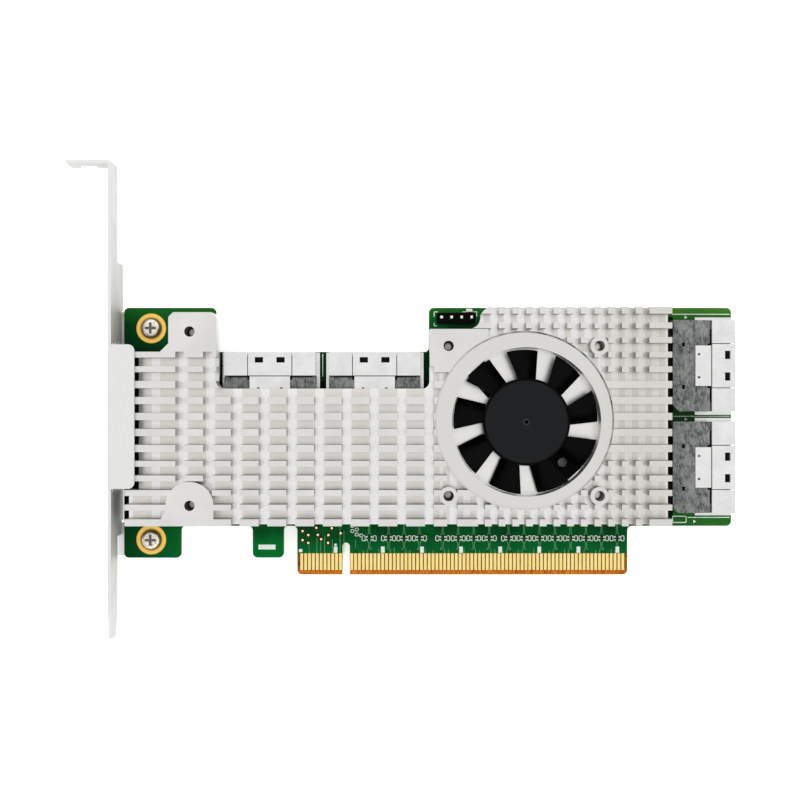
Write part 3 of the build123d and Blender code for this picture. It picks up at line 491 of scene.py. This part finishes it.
def sink_screw_steel():
    """Nickelled on the two screws towards the tail, blackened on the other four, with a glint on every tip
    that makes up for the light that doesn't reach down its hole."""
    screw = Finish("sink_screw_steel")
    x, _, z = screw.axes()
    grain = screw.noise(0.15, 3, 0.6)
    chip = screw.distance_from(CHIP_AXIS, CHIP_SCREW_REACH)
    ear = screw.distance_from(EAR_SCREW_AXIS, EAR_SCREW_REACH)
    tip = screw.ramp(screw.math("MINIMUM", chip, ear), 0.6, 1.05, 1, 0)
    speck = screw.ramp(grain, 0.35, 0.6)
    # Painted highlight: lighter towards every tip
    bright = screw.mix(screw.ramp(tip, 0.1, 0.6, 0.35, 1.0), (120, 112, 98), (252, 249, 240))
    black = screw.mix(screw.both(tip, speck), (20, 19, 18), (240, 236, 228))
    nickelled = screw.above(x, CHIP_AXIS[0])
    screw.set(Base_Color=screw.mix(nickelled, black, bright), Metallic=screw.blend(nickelled, 0.4, 0.25))
    # The glint also glows, as painted light
    glint = screw.both(tip, speck, screw.above(z, 0.0), screw.blend(nickelled, 0.4, 0.95))
    screw.set(Emission_Color=screw.mix(glint, (0, 0, 0, 1), (214, 210, 202)), Emission_Strength=1.0)
    screw.set(Roughness=screw.ramp(grain, 0.2, 0.8, 0.24, 0.42))
    screw.bump(grain, 0.01, 0.5)
    return screw.material


def bracket_screw_steel():
    """Bright pan head, with painted shade down in its cross recess and round its rim."""
    screw = Finish("bracket_screw_steel")
    radius = screw.distance_from(BRACKET_SCREW_AXIS, BRACKET_SCREW_REACH)
    _, _, z = screw.axes()
    grain = screw.noise(0.2, 3, 0.65)
    colour = screw.mix(grain, (214, 206, 192), (252, 248, 240))
    # Painted shade down in the cross recess and round the head's rim
    recess = screw.both(screw.below(radius, 1.55), screw.ramp(z, 1.25, 1.6, 1, 0), screw.above(z, 0.2))
    colour = screw.mix(screw.both(recess, 0.85), colour, (58, 38, 26))
    rim = screw.both(screw.ramp(radius, 2.1, 2.35), screw.above(z, 0.0))
    colour = screw.mix(screw.both(rim, 0.75), colour, (104, 62, 32))
    smudge = screw.ramp(screw.noise(0.7, 3, 0.6, offset=(2, 5, 1)), 0.52, 0.68, 0, 0.55)
    colour = screw.mix(smudge, colour, (128, 104, 84))
    screw.set(Base_Color=colour, Metallic=1.0, Roughness=screw.ramp(grain, 0.2, 0.8, 0.2, 0.36))
    screw.bump(grain, 0.012, 0.5)
    return screw.material


def moulded(name, base, spot, grain, roughness, specular=0.3):
    """Filled, moulded plastic with a fine spark-eroded skin."""
    plastic = Finish(name)
    skin = plastic.noise(grain, 3, 0.65)
    flow = plastic.noise(grain * 9, 3, 0.6, (1, 0.5, 1))
    colour = plastic.mix(plastic.ramp(flow, 0.3, 0.75, 0, 0.3), base, spot)
    colour = plastic.mix(plastic.ramp(skin, 0.5, 0.8, 0, 0.3), colour, spot)
    rough = plastic.ramp(skin, 0.2, 0.8, roughness - 0.05, roughness + 0.1)
    plastic.set(Base_Color=colour, Roughness=rough, Specular_IOR_Level=specular)
    plastic.bump(skin, 0.012, 0.6)
    return plastic.material


def connector_plastic():
    """Glass-filled grey moulding with flow marks, and painted shade, nearly black, down inside the sockets
    and in its small pockets.
    """
    plastic = Finish("connector_plastic")
    x, y, z = plastic.axes()
    skin = plastic.noise(0.2, 3, 0.65)
    swirl = plastic.noise(1.5, 4, 0.7, (1, 0.7, 1))
    streak = plastic.noise(0.5, 3, 0.6, (1, 0.3, 1), offset=(4, 2, 0))
    colour = plastic.mix(plastic.ramp(swirl, 0.36, 0.62), (54, 58, 60), (132, 134, 132))
    colour = plastic.mix(plastic.ramp(streak, 0.42, 0.7, 0, 0.6), colour, (154, 156, 153))
    colour = plastic.mix(plastic.ramp(skin, 0.48, 0.75, 0, 0.5), colour, (40, 42, 43))
    upper, tail = (
        plastic.below(plastic.step_from(value, first, second - first), SOCKET_HALF_WIDTH)
        for value, (first, second) in ((x, UPPER_SOCKETS_X), (y, TAIL_SOCKETS_Y))
    )
    across = plastic.blend(plastic.above(x, TAIL_FROM), upper, tail)
    # Painted shade: nearly black down inside the sockets
    inside = plastic.both(across, plastic.between(z, 0.9, 4.6))
    colour = plastic.mix(plastic.both(inside, 0.94), colour, (2, 2, 2))
    plastic.set(Base_Color=colour, Specular_IOR_Level=0.05)
    plastic.set(Roughness=plastic.ramp(skin, 0.2, 0.8, 0.4, 0.55))
    plastic.bump(skin, 0.012, 0.6)
    plastic.bump(swirl, 0.02, 0.3)
    return plastic.material


def fan_plastic():
    """Black moulding: a matte, eroded hub top with a painted highlight on the lip round its dimple and
    painted shade down in it, and smoother, blacker blades, skirt and rim, the rim's black standing in for
    shade."""
    plastic = Finish("fan_plastic")
    _, _, z = plastic.axes()
    radius = plastic.distance_from(FAN_AXIS)
    # The matte top stops short of the hub's rounded rim, left black as painted shade
    hub = plastic.both(plastic.below(radius, HUB_MATTE_RADIUS), plastic.above(z, HUB_FACE - 0.35))
    skin = plastic.noise(0.16, 3, 0.7)
    streak = plastic.noise(0.9, 3, 0.6)
    matte = plastic.mix(plastic.ramp(skin, 0.3, 0.75), (22, 23, 24), (32, 33, 34))
    # Painted highlight on the lip round the dimple, painted shade down in the dimple
    matte = plastic.mix(plastic.below(radius, DIMPLE_LIP), matte, (52, 53, 54))
    matte = plastic.mix(plastic.below(radius, DIMPLE_RADIUS), matte, (1, 1, 1))
    glossy = plastic.mix(plastic.ramp(streak, 0.3, 0.7), (2, 2, 2), (6, 6, 6))
    plastic.set(Base_Color=plastic.mix(hub, glossy, matte), Specular_IOR_Level=0.035)
    plastic.set(Roughness=plastic.blend(hub, plastic.ramp(streak, 0.2, 0.8, 0.26, 0.38), 0.6))
    plastic.bump(skin, 0.016, 0.5)
    return plastic.material


def wound_copper():
    """Enamelled winding wire, its turns showing as ridges, with painted light on their crests and painted
    shade between them.
    """
    wire = Finish("wound_copper")
    radius = wire.distance_from(FAN_AXIS)
    turns = wire.math("SINE", wire.math("MULTIPLY", radius, 2 * math.pi / 0.16))
    ridge = wire.ramp(turns, -1, 1)
    # Painted light and shade: lighter on each turn's crest, darker between turns
    colour = wire.mix(ridge, (120, 52, 24), (214, 122, 72))
    wire.set(Base_Color=colour, Metallic=0.9, Roughness=wire.ramp(wire.noise(0.3, 2), 0.2, 0.8, 0.26, 0.4))
    wire.bump(ridge, 0.04, 0.8)
    return wire.material


def grainy(name, dark, light, size, low_gloss, high_gloss, depth=0.008, metallic=0.0, specular=0.3):
    """A plain finish whose colour, gloss and relief follow one fine grain."""
    skin = Finish(name)
    grain = skin.noise(size, 3, 0.65)
    skin.set(Base_Color=skin.mix(skin.ramp(grain, 0.3, 0.7), dark, light), Metallic=metallic)
    skin.set(Roughness=skin.ramp(grain, 0.2, 0.8, low_gloss, high_gloss), Specular_IOR_Level=specular)
    skin.bump(grain, depth, 0.5)
    return skin.material


mask = solder_mask()
gold = contact_plate()
small_gold = pad_gold()
# Gold of the contacts down inside the connectors, darkened as painted shade
gold_in_painted_shade = grainy("gold_in_painted_shade", (70, 52, 22), (110, 84, 38), 0.1, 0.3, 0.45, 0.004, 1.0)
screw_steel = plated_steel("screw_steel", (196, 190, 180), (236, 232, 226), 0.12, 0.3)
nickel_lid = plated_steel("lid_nickel", (196, 196, 194), (222, 222, 220), 0.3, 0.3)
magnet = moulded("bonded_magnet", (44, 42, 42), (74, 70, 68), 0.14, 0.6)
board_substrate = moulded("package_laminate", (30, 84, 56), (52, 112, 78), 0.3, 0.4)
silk = grainy("silk_ink", (204, 216, 204), (236, 244, 234), 0.09, 0.5, 0.7)
tin = grainy("solder_tin", (200, 200, 198), (238, 238, 236), 0.3, 0.2, 0.38, 0.02, 1.0)
track = grainy("masked_copper", (54, 122, 72), (104, 160, 108), 0.9, 0.24, 0.36, specular=0.15)
back_track = grainy("masked_copper_back", (8, 84, 34), (20, 108, 48), 0.9, 0.24, 0.36, specular=0.15)
burnt = grainy("pad_surround", (16, 44, 12), (50, 66, 20), 0.4, 0.4, 0.6, specular=0.1)

FINISH_OF_SLOT = {
    "board": mask,
    "board_substrate": board_substrate,
    "gold": gold,
    "aluminium": milled_aluminium(),
    "screw_steel": screw_steel,
    "dark_screw": plated_steel("blackened_steel", (58, 58, 58), (92, 92, 92), 0.12, 0.36),
    "bracket_steel": bracket_nickel(),
    "thermal_pad": moulded("thermal_pad", (120, 126, 138), (150, 156, 166), 0.4, 0.7),
    "lid_nickel": nickel_lid,
    "fan_plastic": fan_plastic(),
    "magnet": magnet,
    "bronze": plated_steel("sintered_bronze", (150, 104, 60), (196, 146, 92), 0.1, 0.42),
    "copper": wound_copper(),
    "header_plastic": moulded("header_plastic", (3, 3, 4), (12, 12, 13), 0.15, 0.4, specular=0.04),
    "connector_plastic": connector_plastic(),
    "shell_steel": shell_tin(),
    "capacitor": grainy("ceramic", (30, 24, 20), (70, 56, 44), 0.08, 0.4, 0.6),
    "chip_plastic": moulded("chip_plastic", (26, 26, 28), (52, 52, 54), 0.12, 0.5),
    "light_lens": grainy("light_lens", (226, 230, 222), (244, 248, 240), 0.2, 0.14, 0.26),
}
FINISH_OF_NODE = {
    **{f"connector_contacts_{number}": gold_in_painted_shade for number in range(1, 5)},
    "bracket_screw_pads": screw_land(),
    "bracket_screws": bracket_screw_steel(),
    "heatsink_screws": sink_screw_steel(),
    "fan_header_pins": plated_steel("pin_tin", (236, 232, 220), (252, 250, 244), 0.1, 0.22),
}


def dress_cad_nodes():
    for name, piece in nodes.items():
        old = piece.material_slots[0].material if piece.material_slots else None
        label = old.name.split(".")[0] if old else ""
        finish = FINISH_OF_NODE.get(name) or FINISH_OF_SLOT.get(label)
        if finish is None:
            raise ValueError(f"no finish for {name}, whose slot is {label!r}")
        if piece.material_slots:
            for slot in piece.material_slots:
                slot.material = finish
        else:
            piece.data.materials.append(finish)


dress_cad_nodes()


# ---------------------------------------------------------------- geometry trees


class Plan:
    """A geometry tree being drawn, with named inputs for its sizes."""

    def __init__(self, name):
        self.tree = bpy.data.node_groups.new(name, "GeometryNodeTree")
        face = self.tree.interface
        face.new_socket("Geometry", in_out="INPUT", socket_type="NodeSocketGeometry")
        face.new_socket("Geometry", in_out="OUTPUT", socket_type="NodeSocketGeometry")
        self.start = self.tree.nodes.new("NodeGroupInput")
        self.end = self.tree.nodes.new("NodeGroupOutput")
        self.finish = self.size("Finish", None, "NodeSocketMaterial")

    def size(self, name, value, kind="NodeSocketFloat"):
        socket = self.tree.interface.new_socket(name, in_out="INPUT", socket_type=kind)
        if value is not None:
            socket.default_value = value
        return self.start.outputs[name]

    @property
    def geometry(self):
        return self.start.outputs["Geometry"]

    def add(self, kind, settings=None, **links):
        """A node with its sockets linked or set by name, given back as its first output."""
        node = self.tree.nodes.new(kind)
        for name, value in (settings or {}).items():
            setattr(node, name, value)
        for name, value in links.items():
            socket = node.inputs[name.replace("_", " ")]
            if isinstance(value, bpy.types.NodeSocket):
                self.tree.links.new(value, socket)
            else:
                socket.default_value = value
        return node.outputs[0]

    def attribute(self, name):
        """The vector that every point carries under a name."""
        return self.add("GeometryNodeInputNamedAttribute", {"data_type": "FLOAT_VECTOR"}, Name=name)

    def level(self, curve):
        """The curve with its section kept flat on the board."""
        return self.add("GeometryNodeSetCurveNormal", {"mode": "Z_UP"}, Curve=curve)

    def on_points(self, shape, **links):
        placed = self.add("GeometryNodeInstanceOnPoints", Points=self.geometry, Instance=shape, **links)
        return self.close(placed)

    def close(self, geometry):
        """Real geometry with its finish, in place of instances, which would be lost."""
        real = self.add("GeometryNodeRealizeInstances", Geometry=geometry)
        done = self.add("GeometryNodeSetMaterial", Geometry=real, Material=self.finish)
        self.tree.links.new(done, self.end.inputs["Geometry"])
        return self.tree


def drum_tree():
    """A low drum on every point, such as a test pad or a plated hole."""
    plan = Plan("drums_on_points")
    radius = plan.size("Radius", 0.3 * MM)
    height = plan.size("Height", 0.04 * MM)
    sides = plan.size("Sides", 12, "NodeSocketInt")
    return plan.on_points(plan.add("GeometryNodeMeshCylinder", Vertices=sides, Radius=radius, Depth=height))


def ring_tree():
    """A flat ring on every point, such as a screw's land."""
    plan = Plan("rings_on_points")
    radius = plan.size("Radius", 0.25 * MM)
    width = plan.size("Width", 0.12 * MM)
    height = plan.size("Height", 0.03 * MM)
    sides = plan.size("Sides", 12, "NodeSocketInt")
    path = plan.level(plan.add("GeometryNodeCurvePrimitiveCircle", Resolution=sides, Radius=radius))
    section = plan.add("GeometryNodeCurvePrimitiveQuadrilateral", Width=width, Height=height)
    return plan.on_points(plan.add("GeometryNodeCurveToMesh", Curve=path, Profile_Curve=section))


def block_tree():
    """A block on every point, of the size that the point carries."""
    plan = Plan("blocks_on_points")
    share = plan.size("Share of size", 1.0)
    block = plan.add("GeometryNodeMeshCube", Size=(1, 1, 1))
    size = plan.attribute("size")
    scale = plan.add("ShaderNodeVectorMath", {"operation": "SCALE"}, Vector=size, Scale=share)
    return plan.on_points(block, Scale=scale)


def cone_tree():
    """A solder fillet that climbs a pin, on every point."""
    plan = Plan("fillets_on_points")
    lower = plan.size("Lower radius", 0.6 * MM)
    upper = plan.size("Upper radius", 0.25 * MM)
    height = plan.size("Height", 0.5 * MM)
    sides = plan.size("Sides", 12, "NodeSocketInt")
    radii = {"Radius_Top": upper, "Radius_Bottom": lower}
    return plan.on_points(plan.add("GeometryNodeMeshCone", Vertices=sides, Depth=height, **radii))


def track_tree():
    """A flat track along every chain of edges, with eased bends."""
    plan = Plan("tracks_along_edges")
    width = plan.size("Width", 0.15 * MM)
    height = plan.size("Height", 0.03 * MM)
    bend = plan.size("Bend radius", 0.3 * MM)
    path = plan.add("GeometryNodeMeshToCurve", Mesh=plan.geometry)
    bends = {"Radius": bend, "Count": 2, "Limit_Radius": True}
    path = plan.level(plan.add("GeometryNodeFilletCurve", {"mode": "POLY"}, Curve=path, **bends))
    section = plan.add("GeometryNodeCurvePrimitiveQuadrilateral", Width=width, Height=height)
    strip = plan.add("GeometryNodeCurveToMesh", Curve=path, Profile_Curve=section, Fill_Caps=True)
    return plan.close(strip)


DRUMS = drum_tree()
RINGS = ring_tree()
BLOCKS = block_tree()
CONES = cone_tree()
TRACKS = track_tree()


def grow(name, tree, base, finish, slot, body="card", **sizes):
    """Runs a tree on a base mesh, its lengths in millimetres, and keeps the result as a plain mesh."""
    seed_piece = bpy.data.objects.new(name + "_base", base)
    bpy.context.scene.collection.objects.link(seed_piece)
    modifier = seed_piece.modifiers.new("tree", "NODES")
    modifier.node_group = tree
    sockets = {s.name: s.identifier for s in tree.interface.items_tree if s.in_out == "INPUT"}
    modifier[sockets["Finish"]] = finish
    for label, value in sizes.items():
        modifier[sockets[label.replace("_", " ")]] = value if isinstance(value, int) else value * MM
    evaluated = seed_piece.evaluated_get(bpy.context.evaluated_depsgraph_get())
    mesh = bpy.data.meshes.new_from_object(evaluated)
    mesh.name = name
    bpy.data.objects.remove(seed_piece)
    carried = mesh.attributes.get("size")
    if carried:
        mesh.attributes.remove(carried)
    mesh.materials.clear()
    mesh.materials.append(finish)
    piece = bpy.data.objects.new(name, mesh)
    bpy.context.scene.collection.objects.link(piece)
    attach(piece, body)


def dots(places, sizes=None):
    """A mesh of loose points, in millimetres, each with its size if sizes are given."""
    mesh = bpy.data.meshes.new("dots")
    mesh.from_pydata([[part * MM for part in place] for place in places], [], [])
    if sizes:
        layer = mesh.attributes.new("size", "FLOAT_VECTOR", "POINT")
        layer.data.foreach_set("vector", [part * MM for size in sizes for part in size])
    return mesh


def chains(paths, height, closed=False):
    """A mesh of edge chains at one height, in millimetres."""
    points, edges = [], []
    for path in paths:
        first = len(points)
        points += [(x * MM, y * MM, height * MM) for x, y in path]
        edges += [(first + step, first + step + 1) for step in range(len(path) - 1)]
        if closed:
            edges.append((len(points) - 1, first))
    mesh = bpy.data.meshes.new("chains")
    mesh.from_pydata(points, edges, [])
    return mesh


def lumps(node):
    """The separate solids of a CAD node, each as its lowest and highest corner in millimetres."""
    shape = bmesh.new()
    shape.from_mesh(nodes[node].data)
    bmesh.ops.remove_doubles(shape, verts=shape.verts, dist=1e-7)
    left = set(shape.verts)
    found = []
    while left:
        group = [left.pop()]
        for vertex in group:
            for edge in vertex.link_edges:
                other = edge.other_vert(vertex)
                if other in left:
                    left.discard(other)
                    group.append(other)
        spots = [vertex.co / MM for vertex in group]
        low = tuple(min(spot[axis] for spot in spots) for axis in range(3))
        high = tuple(max(spot[axis] for spot in spots) for axis in range(3))
        found.append((low, high))
    shape.free()
    return sorted(found)


# ---------------------------------------------------------------- detail on the component side


def rectangle(left, low, width, height):
    return [(left, low), (left + width, low), (left + width, low + height), (left, low + height)]


def capacitor_ends(name, node):
    """Tinned ends on every chip capacitor of a node, standing a little proud of its body."""
    longest_end, proud = 0.27, 0.02
    places, sizes = [], []
    for low, high in lumps(node):
        span = [high[axis] - low[axis] for axis in range(3)]
        middle = [(high[axis] + low[axis]) / 2 for axis in range(3)]
        long = 0 if span[0] > span[1] else 1
        reach = min(longest_end, span[long] * 0.3)
        for side in (-1, 1):
            place = list(middle)
            place[long] += side * (span[long] / 2 - reach / 2 + proud / 2)
            size = [part + 2 * proud for part in span]
            size[long] = reach + proud
            places.append(place)
            sizes.append(size)
    grow(name, BLOCKS, dots(places, sizes), tin, "screw_steel")


def contact_x(contact):
    """The X of a contact, counted from one."""
    return FIRST_CONTACT - 1 + contact


def lane_middle(contact):
    """The X between a lane's two contacts."""
    return contact_x(contact) + 0.5


def lane_tracks():
    """Pairs of masked tracks from the contacts past the capacitors and on under the heatsink, and short
    single ones at the contacts between."""
    paths = []
    for contact in LANE_CONTACTS:
        middle = lane_middle(contact)
        for side in (-1, 1):
            wide, near, far = middle + side * 0.5, middle + side * 0.16, middle + side * 0.62
            paths.append([(wide, CONTACT_TOP), (wide, 6.2), (near, 6.9), (near, 8.3), (far, 8.8)])
            paths.append([(far, 10.1), (near, 10.7), (near, 13.4)])
    ends = [(contact, 6.3 + 0.35 * (contact % 3)) for contact in range(13, 82, 2)]
    for contact, end in ends + list(SHORT_END_TRACKS):
        paths.append([(contact_x(contact), CONTACT_TOP), (contact_x(contact), end)])
    grow(
        "lane_tracks", TRACKS, chains(paths, FRONT), track, "board", Width=0.17, Height=0.03, Bend_radius=0.3
    )


def pin_marks():
    """Plain white blocks: those that count the contacts, and one on the small tab. They stand above the
    tracks, which would cut them up otherwise."""
    over, thick = FRONT + 0.014, 0.05
    counted = (-2.72, 9.48, 19.6, 29.68, 39.8, 49.88, 59.98, 70.05)
    marks = [(x, 6.45, 0.95, 1.6) for x in counted]
    marks += [(-11.75, 6.2, 0.9, 0.8), (-2.72, 7.7, 0.6, 0.6), (-20.43, 7.13, 4.4, 1.25)]
    places = [(x, y, over) for x, y, _, _ in marks]
    sizes = [(width, height, thick) for _, _, width, height in marks]
    grow("pin_marks", BLOCKS, dots(places, sizes), silk, "board")


def silk_frames():
    """Thin white frames beside the capacitors, and a small cluster of them by the key notch."""
    loops = []
    for contact in LANE_CONTACTS:
        for side in (-1, 1):
            left = lane_middle(contact) + side * 1.42 - 0.4
            loops.append(rectangle(left, CAPACITOR_ROW - 0.65, 0.8, 1.3))
    for column, row in ((0, 0), (1, 0), (0, 1), (1, 1), (2, 0.5)):
        left, low = 1.2 + column * 1.15, 12.2 - row * 1.3 - column * 0.9
        loops.append(rectangle(left, low, 0.8, 0.75))
    base = chains(loops, FRONT, closed=True)
    grow("silk_frames", TRACKS, base, silk, "board", Width=0.2, Height=0.03, Bend_radius=0.25)


def silk_lines():
    """White lines beside the connectors, a frame at the tail, and corner marks round the fan header."""
    x, y = HEADER
    left, right, low, high = x - 5.55, x + 5.45, y - 1.85, y + 1.75
    line_from, line_to = 84.2, 99.0
    paths = [
        [(line_from, 67.23), (line_to, 67.23)],
        [(line_from, 40.88), (line_to, 40.88)],
        [(88.2, 14.8), (line_to, 14.8)],
        [(-6.04, 51.2), (-6.04, 57.0)],
        [(84.3, 13.5), (87.8, 13.5), (87.8, 15.1), (84.3, 15.1), (84.3, 13.5)],
        [(left, high - 1.3), (left, high), (left + 1.0, high)],
        [(right - 1.0, high), (right, high), (right, high - 1.2)],
        [(left, low + 0.8), (left, low), (left + 0.7, low)],
        [(x + 1.8, high), (x + 3.2, high)],
    ]
    grow(
        "silk_lines", TRACKS, chains(paths, FRONT), silk, "board", Width=0.24, Height=0.03, Bend_radius=0.1
    )


def pin_one_marks():
    """White triangles beside each connector's first contact."""
    base = dots([(x, y, FRONT) for x, y in ((87.65, 66.45), (87.65, 40.15), (89.9, 13.75))])
    grow("pin_one_marks", DRUMS, base, silk, "board", Radius=0.5, Height=0.03, Sides=3)


def test_pads():
    """Bare gold pads beside the short end of the contact edge, each in its dark ring of lacquer."""
    spots = [(-11.24, 11.25), (-9.77, 10.22), (-7.7, 12.1), (-7.3, 10.25), (-6.45, 9.15), (-4.57, 10.22)]
    spots += [(-4.65, 8.2), (-11.24, 8.92), (-9.77, 8.2), (-1.4, 10.7), (-3.7, 12.0)]
    pads = dots([(x, y, FRONT + 0.01) for x, y in spots])
    grow("test_pads", DRUMS, pads, small_gold, "gold", Radius=0.3, Height=0.05, Sides=14)
    rings = dots([(x, y, FRONT - 0.002) for x, y in spots])
    grow(
        "test_pad_surrounds", RINGS, rings, burnt, "board", Radius=0.56, Width=0.5, Height=0.02, Sides=14
    )


capacitor_ends("coupling_capacitor_ends", "coupling_capacitors")
capacitor_ends("decoupling_capacitor_ends", "decoupling_capacitors")
lane_tracks()
pin_marks()
silk_frames()
silk_lines()
pin_one_marks()
test_pads()


# ---------------------------------------------------------------- detail on the solder side


def socket_lanes():
    """How far each of a connector's sixteen holes is from its middle."""
    return [(lane - 7.5) * SOCKET_HOLE_PITCH for lane in range(16)]


def back_tracks():
    """Masked tracks from the contacts and the four connectors to the chip."""
    chip_left, chip_right, chip_low = 31.4, 58.6, 26.0
    paths = []
    for number, middle in enumerate(UPPER_SOCKETS_X):
        for lane, offset in enumerate(socket_lanes()):
            level = 24.4 + number * 7.3 + lane * TRACK_PITCH
            paths.append([(middle + offset, UPPER_HOLES_Y), (middle + offset, level), (chip_left, level)])
    fan_out = 64
    for middle, target in zip(TAIL_SOCKETS_Y, (32.6, 47.0)):
        for lane, offset in enumerate(socket_lanes()):
            start, end = middle + offset, target + (lane - 7.5) * TRACK_PITCH
            bend = fan_out + abs(start - end)
            paths.append([(TAIL_HOLES_X, start), (bend, start), (fan_out, end), (chip_right, end)])
    half = len(LANE_CONTACTS) // 2
    for lane, contact in enumerate(LANE_CONTACTS):
        rank = lane if lane < half else len(LANE_CONTACTS) - 1 - lane
        level = 22.6 - rank * 1.35
        middle = CHIP_AXIS[0] + (lane - half + 0.5) * 1.5
        for side in (-0.22, 0.22):
            start, end = lane_middle(contact) + side * 2, middle + side
            turn = level - side if lane < half else level + side
            paths.append([(start, CONTACT_TOP), (start, turn), (end, turn), (end, chip_low)])
    base = chains(paths, BACK)
    grow("back_tracks", TRACKS, base, back_track, "board", Width=0.16, Height=0.024, Bend_radius=0.9)


def back_holes():
    """Plated holes: the field behind the chip, between its capacitors, the ends of the tracks and a row
    along each of three edges of the board."""
    places = []
    capacitors = lumps("decoupling_capacitors")
    taken = [((low[0] + high[0]) / 2, (low[1] + high[1]) / 2) for low, high in capacitors]
    field_pitch = 1.2
    for column in range(-10, 11):
        for row in range(-10, 11):
            spot = (CHIP_AXIS[0] + column * field_pitch, CHIP_AXIS[1] + row * field_pitch)
            if all(abs(spot[0] - x) > 0.9 or abs(spot[1] - y) > 0.7 for x, y in taken):
                places.append(spot)
    for middle in UPPER_SOCKETS_X:
        places += [(middle + offset, UPPER_HOLES_Y) for offset in socket_lanes()]
    for middle in TAIL_SOCKETS_Y:
        places += [(TAIL_HOLES_X, middle + offset) for offset in socket_lanes()]
    places += [(-40.5 + step * EDGE_HOLE_PITCH, 13.8) for step in range(8)]
    places += [(38.0 + step * EDGE_HOLE_PITCH, 67.7) for step in range(20)]
    places += [(98.2, 15.0 + step * EDGE_HOLE_PITCH) for step in range(17)]
    base = dots([(x, y, BACK) for x, y in places])
    grow("back_holes", DRUMS, base, small_gold, "gold", Radius=0.2, Height=0.03, Sides=8)


def back_lands():
    """Tinned lands round the heatsink screws, and solder that climbs the header's pins."""
    spots = []
    for axis, reach in ((CHIP_AXIS, CHIP_SCREW_REACH), (EAR_SCREW_AXIS, EAR_SCREW_REACH)):
        for side in (-1, 1) if reach[0] else (1,):
            for end in (-1, 1):
                spots.append((axis[0] + side * reach[0], axis[1] + end * reach[1], BACK))
    grow("back_lands", RINGS, dots(spots), tin, "screw_steel", Radius=2.75, Width=0.9, Height=0.03, Sides=32)
    x, y = HEADER
    height = 0.5
    pins = dots([(x + (pin - 1.5) * HEADER_PITCH, y, BOARD_BACK - height) for pin in range(4)])
    sizes = {"Lower_radius": 0.42, "Upper_radius": 0.85, "Height": height, "Sides": 16}
    grow("header_solder", CONES, pins, tin, "screw_steel", **sizes)


def back_silk():
    """Plain white outlines: the chip's place, the header and the capacitors."""
    x, y = CHIP_AXIS
    half = 14
    loops = [rectangle(x - half, y - half, 2 * half, 2 * half)]
    loops.append(rectangle(HEADER[0] - 5.4, HEADER[1] - 1.7, 10.8, 3.4))
    gap = 0.3
    for low, high in lumps("decoupling_capacitors"):
        width, height = high[0] - low[0] + 2 * gap, high[1] - low[1] + 2 * gap
        loops.append(rectangle(low[0] - gap, low[1] - gap, width, height))
    base = chains(loops, BACK, closed=True)
    grow("back_silk", TRACKS, base, silk, "board", Width=0.15, Height=0.03, Bend_radius=0.1)


back_tracks()
back_holes()
back_lands()
back_silk()


# ---------------------------------------------------------------- studio


def studio():
    """A white room, brightest round the horizon and duller straight above, where the shadows come from."""
    scene = bpy.context.scene
    scene.view_settings.view_transform = "Standard"
    scene.view_settings.look = "None"
    world = bpy.data.worlds.new("studio")
    scene.world = world
    world.use_nodes = True
    tree = world.node_tree
    tree.nodes.clear()
    kinds = ("OutputWorld", "Background", "ValToRGB", "SeparateXYZ", "TexCoord")
    output, backdrop, ramp, height, ray = (tree.nodes.new("ShaderNode" + kind) for kind in kinds)
    tree.links.new(ray.outputs["Generated"], height.inputs[0])
    tree.links.new(height.outputs["Z"], ramp.inputs[0])
    tree.links.new(ramp.outputs["Color"], backdrop.inputs["Color"])
    tree.links.new(backdrop.outputs[0], output.inputs[0])
    stops = ramp.color_ramp.elements
    stops[0].position = 0.0
    stops[0].color = (0.62, 0.62, 0.63, 1)
    stops[1].position = 1.0
    stops[1].color = (0.72, 0.72, 0.725, 1)
    for place, level in ((0.3, 0.95), (0.86, 0.98), (0.94, 0.72)):
        stop = stops.new(place)
        stop.color = (level, level, level, 1)
    backdrop.inputs["Strength"].default_value = 1.3
    lamp("key_light", (-0.45, 0.55, 0.75), 0.6)
    lamp("fill_light", (0.6, -0.35, 0.6), 0.3)


def lamp(name, place, power):
    """A square area lamp at a place in metres, aimed at the middle of the card."""
    light = bpy.data.lights.new(name, "AREA")
    light.shape = "SQUARE"
    light.size = 0.6
    light.energy = power
    piece = bpy.data.objects.new(name, light)
    piece.location = place
    piece.rotation_mode = "QUATERNION"
    aim = Vector((0.014, 0.045, 0)) - Vector(place)
    piece.rotation_quaternion = aim.to_track_quat("-Z", "Y")
    bpy.context.scene.collection.objects.link(piece)


def floor():
    """White paper that glows a little, so that it comes out as pale as the photo's ground."""
    paper = Finish("backdrop_paper")
    grain = paper.noise(0.6, 3, 0.6)
    paper.set(Base_Color=paper.mix(grain, (0.9, 0.9, 0.9, 1), (0.96, 0.96, 0.96, 1)), Roughness=0.9)
    paper.set(Emission_Color=(1, 1, 1, 1), Emission_Strength=0.55)
    paper.bump(grain, 0.01, 0.2)
    low = cad_box[0][2]
    half = 6.0
    mesh = bpy.data.meshes.new("floor")
    corners = [(-half, -half, low), (half, -half, low), (half, half, low), (-half, half, low)]
    mesh.from_pydata(corners, [], [(0, 1, 2, 3)])
    mesh.materials.append(paper.material)
    piece = bpy.data.objects.new("floor", mesh)
    bpy.context.scene.collection.objects.link(piece)


def camera():
    """The photo's camera, straight above the component side."""
    view = bpy.data.cameras.new("camera")
    view.sensor_width = 36
    view.lens = 36 * 1665 / 800
    view.clip_start = 0.01
    view.clip_end = 20
    piece = bpy.data.objects.new("camera", view)
    piece.location = (13.92 * MM, 45.1 * MM, 430 * MM)
    bpy.context.scene.collection.objects.link(piece)
    bpy.context.scene.camera = piece


studio()
floor()
camera()
